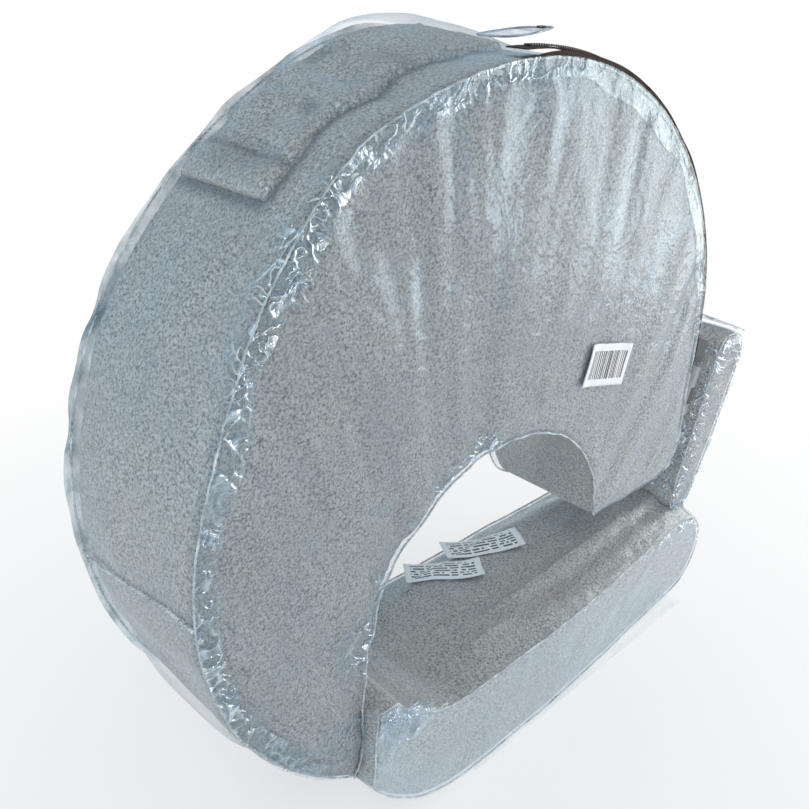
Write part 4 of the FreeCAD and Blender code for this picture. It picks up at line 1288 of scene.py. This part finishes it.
# ---------------------------------------------------------------- the wing

def leave_out(item, low, high):
    """Cuts the part of a sheet that would lie under the box from low to high."""
    flat = bmesh.new()
    flat.from_mesh(item.data)
    room = 0.0015
    covered = [face for face in flat.faces
               if all(low[k] - room < face.calc_center_median()[k] < high[k] + room for k in (1, 2))]
    bmesh.ops.delete(flat, geom=covered, context="FACES")
    flat.to_mesh(item.data)
    flat.free()


wing = wing_cushion()
dress(wing, "wing", PLUSH, "plush", "wing_foam_core", "wing_near_panel", "wing_far_panel", "wing_side_band")
wing_tree = tree_of(wing)
WING_OUT = 0.0013
wing_film_y = WING_NEAR - 0.0014


def wing_bunch(points, edge):
    return np.clip(bell(edge, 0, 0.014), 0, 1)


wing_panel = film_panel("film_wing_near", wing_tree, wing_outline(-WING_OUT), wing_film_y, lean_points, 0.8,
                        wing_bunch)
dress(wing_panel, "wing", FILM, "film", "bag_wing_near_panel")
wing_edge = wing_outline(-WING_OUT)
outer_side = wing_edge[(wing_edge[:, 0] > WING_LEFT + 0.01) & (wing_edge[:, 1] > WING_LOW + 0.02)]
wing_wall = wall_sheet("film_wing_wall", wing_tree, outer_side, wing_film_y, WING_FAR + 0.0024, lean_points)
dress(wing_wall, "wing", FILM, "film", "bag_wing_gusset")
inner_run = line_points((WING_LEFT - WING_OUT, WING_HIGH - 0.016), (WING_LEFT - WING_OUT, WING_LOW + 0.02))
inner_wall = wall_sheet("film_wing_gather", wing_tree, inner_run, wing_film_y, WING_NEAR + 0.040, lean_points,
                        rows_step=0.0018, width=24)
leave_out(inner_wall, *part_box("buckle_socket"))
mark(inner_wall, "gather", 1.0)
dress(inner_wall, "wing", FILM, "film")
wing_seam = lean_points(seam_path(wing_outline(-WING_OUT - 0.0002), wing_film_y))
dress(twisted("cord_wing", drawn_in(wing_seam, wing_tree), CORD_R), "wing", CORD, "bead")


def spare_corner():
    """The empty corner of the bag above the wing, flattened to two layers, and its welded edge."""
    low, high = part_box("bag_wing_corner")
    across, along = 26, 40

    def place(u, v):
        x = low.x + (high.x - low.x) * u * (0.75 + 0.25 * v)
        y = low.y + (high.y - low.y) * v
        sag = 0.0016 * noise(columns(x, y, y) / 0.012, 103)
        z = high.z - (high.z - low.z) * u * 0.9 + sag * np.sin(math.pi * u)
        return columns(x, y, np.minimum(z, high.z))

    item = grid("film_wing_corner", across, along, place)
    mark(item, "gather", 0.5)
    rows = points_of(item).reshape(across, along, 3)
    return item, np.vstack([rows[:, 0], rows[-1, 1:]])


wing_corner, corner_edge = spare_corner()
dress(wing_corner, "wing", SEAM_FILM, "film", "bag_wing_corner")
dress(twisted("cord_wing_corner", corner_edge, 0.0006), "wing", CORD, "bead")

# ---------------------------------------------------------------- flaps, labels, sticker and tab

def flap(name, run, near, far, thickness, seed):
    """A cloth strip that follows a run in the XZ plane, between two sides."""
    length = distances(run)[-1]
    nearby = 0.01

    def place(u, v):
        x, z = spots_along(run, u * length).T
        ahead = spots_along(run, np.minimum(u + nearby, 1) * length) - spots_along(run, (u - nearby) * length)
        ahead /= np.linalg.norm(ahead, axis=1, keepdims=True)
        return columns(x, near + (far - near) * v, z), columns(ahead[:, 1], 0, -ahead[:, 0])

    def height(u, v):
        ripple = 0.0008 * noise(columns(u * 3, v * 7, seed), seed)
        return (thickness + ripple) * soft_edge(0.01 + 0.98 * u, 20) * soft_edge(0.01 + 0.98 * v, 30) + 0.0002

    return puffy(name, 60, 50, place, height)


def blended_flap(item, node):
    """A fabric hinge: it takes over from its CAD node, painted plush, with its placement baked into its mesh.
    """
    paint(item, PLUSH)
    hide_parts(node)
    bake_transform(item)


hinge_run = chained(arc_points(0, RING_Z, OUTER_R + 0.0004, 212, 236.6, 0.002),
                    line_points((-0.1338, 0.0712), (-0.1285, 0.0625), 0.002),
                    backrest_outline(-0.0004)[-34:-12])
blended_flap(flap("hinge_flap_cloth", hinge_run, -0.052, 0.052, 0.0020, 91), "hinge_flap")

flap_low, flap_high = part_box("wing_flap")
nose_x, nose_z, nose_r = REST_RIGHT - REST_TALL / 2, REST_BASE + REST_TALL / 2, REST_TALL / 2 + 0.0012
wing_foot = np.array([[WING_RIGHT, 0.0, height] for height in (0.094, 0.104, 0.114)])
wing_side = lean_points(wing_foot)[:, [0, 2]] + np.array([0.0012, 0.0])
nose_run = arc_points(nose_x, nose_z, nose_r, 20, 56, 0.0015)
wing_hinge_run = chained(nose_run, line_points(nose_run[-1], wing_side[0], 0.0015),
                         line_points(wing_side[0], wing_side[-1], 0.0015))
blended_flap(flap("wing_flap_cloth", wing_hinge_run, flap_low.y, flap_high.y, 0.0016, 93), "wing_flap")


def turned_axes(degrees):
    """Two directions in the XY plane, the first turned from +X towards +Y."""
    turn = math.radians(degrees)
    return Vector((math.cos(turn), math.sin(turn), 0)), Vector((-math.sin(turn), math.cos(turn), 0))


def draped(name, tree, centre, across, up, size, cast, lift, seed):
    """A thin sheet of paper or satin lying on a surface, its corners curling up. cast points down at it."""
    down = np.array(cast)

    def place(u, v):
        ways = np.tile(down, (len(u), 1))
        flat = np.array(centre) + np.outer((u - 0.5) * size[0], across) + np.outer((v - 0.5) * size[1], up)
        flat -= 0.03 * down
        depth = on_surface(tree, flat, ways)[0] @ down
        curl = lift * (np.abs(2 * u - 1) ** 3 + 0.4 * noise(columns(u * 2.4, v * 1.6, seed), seed))
        rest_at = np.minimum(depth, np.median(depth) + 0.003) - 0.0012 - np.maximum(curl, 0)
        return flat + np.outer(rest_at - flat @ down, down), -ways

    return puffy(name, 34, 20, place, lambda u, v: 0.0002)


def middle_of(label):
    low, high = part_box(label)
    return (low + high) / 2


top_tree = tree_of_all(rest, film_wrap)
for label, degrees, size, seed in (("care_label_lower", -38, (0.066, 0.026), 95),
                                   ("care_label_upper", -28, (0.072, 0.026), 97)):
    centre = middle_of(label)
    across, up = turned_axes(degrees)
    piece = draped(label + "_satin", top_tree, centre, across, up, size, Vector((0, 0, -1)), 0.003, seed)
    print_lines = printed_material(label + "_print", (0.92, 0.93, 0.92), (0.05, 0.055, 0.065), across, up,
                                   centre, size, 7.0)
    dress(piece, "backrest", print_lines, "satin", label)

sticker_centre = middle_of("barcode_sticker")
STICKER_SIZE = (0.054, 0.032)
tilt = math.radians(-14)
sticker_across = Vector((math.cos(tilt), 0, math.sin(tilt)))
sticker_up = Vector((-math.sin(tilt), 0, math.cos(tilt)))
sticker = draped("sticker_bars", tree_of_all(film_near), sticker_centre, sticker_across, sticker_up,
                 STICKER_SIZE, Vector((0, 1, 0)), 0.0014, 99)
bars = printed_material("sticker_print", PAPER_WHITE, INK, sticker_across, sticker_up, sticker_centre,
                        STICKER_SIZE, 1.0, True)
dress(sticker, "crescent", bars, "paper", "barcode_sticker")


def leaf_tab():
    """A clear hanging tab, pointed at one end, with a hole near the other and a thicker rim."""
    length, half = 0.066, 0.0125
    low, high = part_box("hang_tab")
    start, height = low.x - 0.002, high.z + 0.001

    def place(u, v):
        turn, scale = 2 * math.pi * v, 0.02 + 0.98 * u
        x = start + length / 2 + length / 2 * scale * np.cos(turn)
        y = half * scale * np.sin(turn) * (1 - 0.25 * np.cos(turn))
        z = height + 0.004 * ((x - start) / length) + 0.0012 * noise(columns(x, y, y) / 0.02, 101)
        return columns(x, y, z)

    sheet = grid("hang_tab_film", 10, 65, place)
    mark(sheet, "gather", 0.25)
    rim = place(np.ones(120), np.linspace(0, 1, 120, endpoint=False))
    turn = np.linspace(0, 2 * math.pi, 40, endpoint=False)
    slot = columns(start + length * 0.86 + 0.0035 * np.cos(turn), 0.0026 * np.sin(turn), height + 0.0036)
    return sheet, tube("hang_tab_rim", rim, 0.0007, 8, True), tube("hang_tab_hole", slot, 0.0007, 8, True)


tab_sheet, tab_rim, tab_hole = leaf_tab()
RIM_GREY = cord_material("tab_rim", (0.42, 0.45, 0.50), 0.9)
dress(tab_sheet, "hang_tab", SEAM_FILM, "film", "hang_tab")
dress(tab_rim, "hang_tab", RIM_GREY, "film")
dress(tab_hole, "hang_tab", cord_material("tab_hole", (0.06, 0.05, 0.06), 1.0), "film")

# ---------------------------------------------------------------- carried-over pieces and the stage

for label, material in NODE_MATERIALS.items():
    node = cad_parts[label]
    for slot in node.material_slots:
        slot.material = material

CAMERA_TARGET = Vector((-0.042, 0.0, 0.300))
CAMERA_DISTANCE = 0.598
CAMERA_AZIMUTH = math.radians(-45.2)        # from the -Y side towards -X
CAMERA_HEIGHT = math.radians(26.5)
CAMERA_ROLL = math.radians(2.0)
CAMERA_LENS = 40.05                         # on a 36 mm frame


def add_camera():
    level = math.cos(CAMERA_HEIGHT)
    back = Vector((math.sin(CAMERA_AZIMUTH) * level, -math.cos(CAMERA_AZIMUTH) * level,
                   math.sin(CAMERA_HEIGHT)))
    right = (-back).cross(Vector((0, 0, 1))).normalized()
    up = right.cross(-back)
    turned = right * math.cos(CAMERA_ROLL) + up * math.sin(CAMERA_ROLL)
    upright = up * math.cos(CAMERA_ROLL) - right * math.sin(CAMERA_ROLL)
    lens = bpy.data.cameras.new("camera")
    lens.lens, lens.sensor_width, lens.clip_start = CAMERA_LENS, 36.0, 0.01
    item = bpy.data.objects.new("camera", lens)
    scene.collection.objects.link(item)
    place = Matrix((turned, upright, back)).transposed().to_4x4()
    place.translation = CAMERA_TARGET + back * CAMERA_DISTANCE
    item.matrix_world = place
    scene.camera = item


def area_light(name, place, aim, width, height, power, colour):
    data = bpy.data.lights.new(name, "AREA")
    data.shape, data.size, data.size_y = "RECTANGLE", width, height
    data.energy, data.color = power, colour
    item = bpy.data.objects.new(name, data)
    item.location = place
    item.rotation_euler = (Vector(aim) - Vector(place)).to_track_quat("-Z", "Y").to_euler()
    scene.collection.objects.link(item)


def add_world():
    """Soft studio surroundings, cooler on the left and dimmer overhead. The camera itself sees white."""
    scene.world = bpy.data.worlds.new("studio")
    nodes = Nodes(scene.world, "ShaderNodeOutputWorld")
    around = nodes.make("ShaderNodeTexCoord").outputs["Generated"]
    split = nodes.make("ShaderNodeSeparateXYZ", Vector=around).outputs
    level = nodes.mixed(nodes.spread(split["X"], -0.8, 0.8), (0.56, 0.78, 0.98, 1), (0.56, 0.72, 0.88, 1))
    tint = nodes.mixed(nodes.spread(split["Z"], 0.35, 0.85), level, (0.80, 0.82, 0.82, 1))
    strength = nodes.spread(split["Z"], 0.15, 0.9, 1.08, 0.62)
    soft = nodes.make("ShaderNodeBackground", Color=tint, Strength=strength)
    seen = nodes.make("ShaderNodeBackground", Color=(1, 1, 1, 1))
    either = nodes.make("ShaderNodeMixShader")
    camera_ray = nodes.make("ShaderNodeLightPath").outputs["Is Camera Ray"]
    for value, socket in zip((camera_ray, soft.outputs[0], seen.outputs[0]), either.inputs):
        nodes.put(value, socket)
    nodes.put(either.outputs["Shader"], nodes.output.inputs["Surface"])


floor = new_object("floor", [(-9, -9, 0), (9, -9, 0), (9, 9, 0), (-9, 9, 0)], [(0, 1, 2, 3)], False)
paint(floor, floor_material())
add_camera()
add_world()
area_light("key", (1.15, -0.50, 0.35), (0.1, 0, 0.25), 0.9, 0.9, 8.5, (1, 0.90, 0.80))
area_light("window", (-0.9, -0.9, 1.7), (-0.1, 0, 0.3), 0.28, 0.36, 5, (0.84, 0.94, 1))
scene.view_settings.view_transform = "Standard"
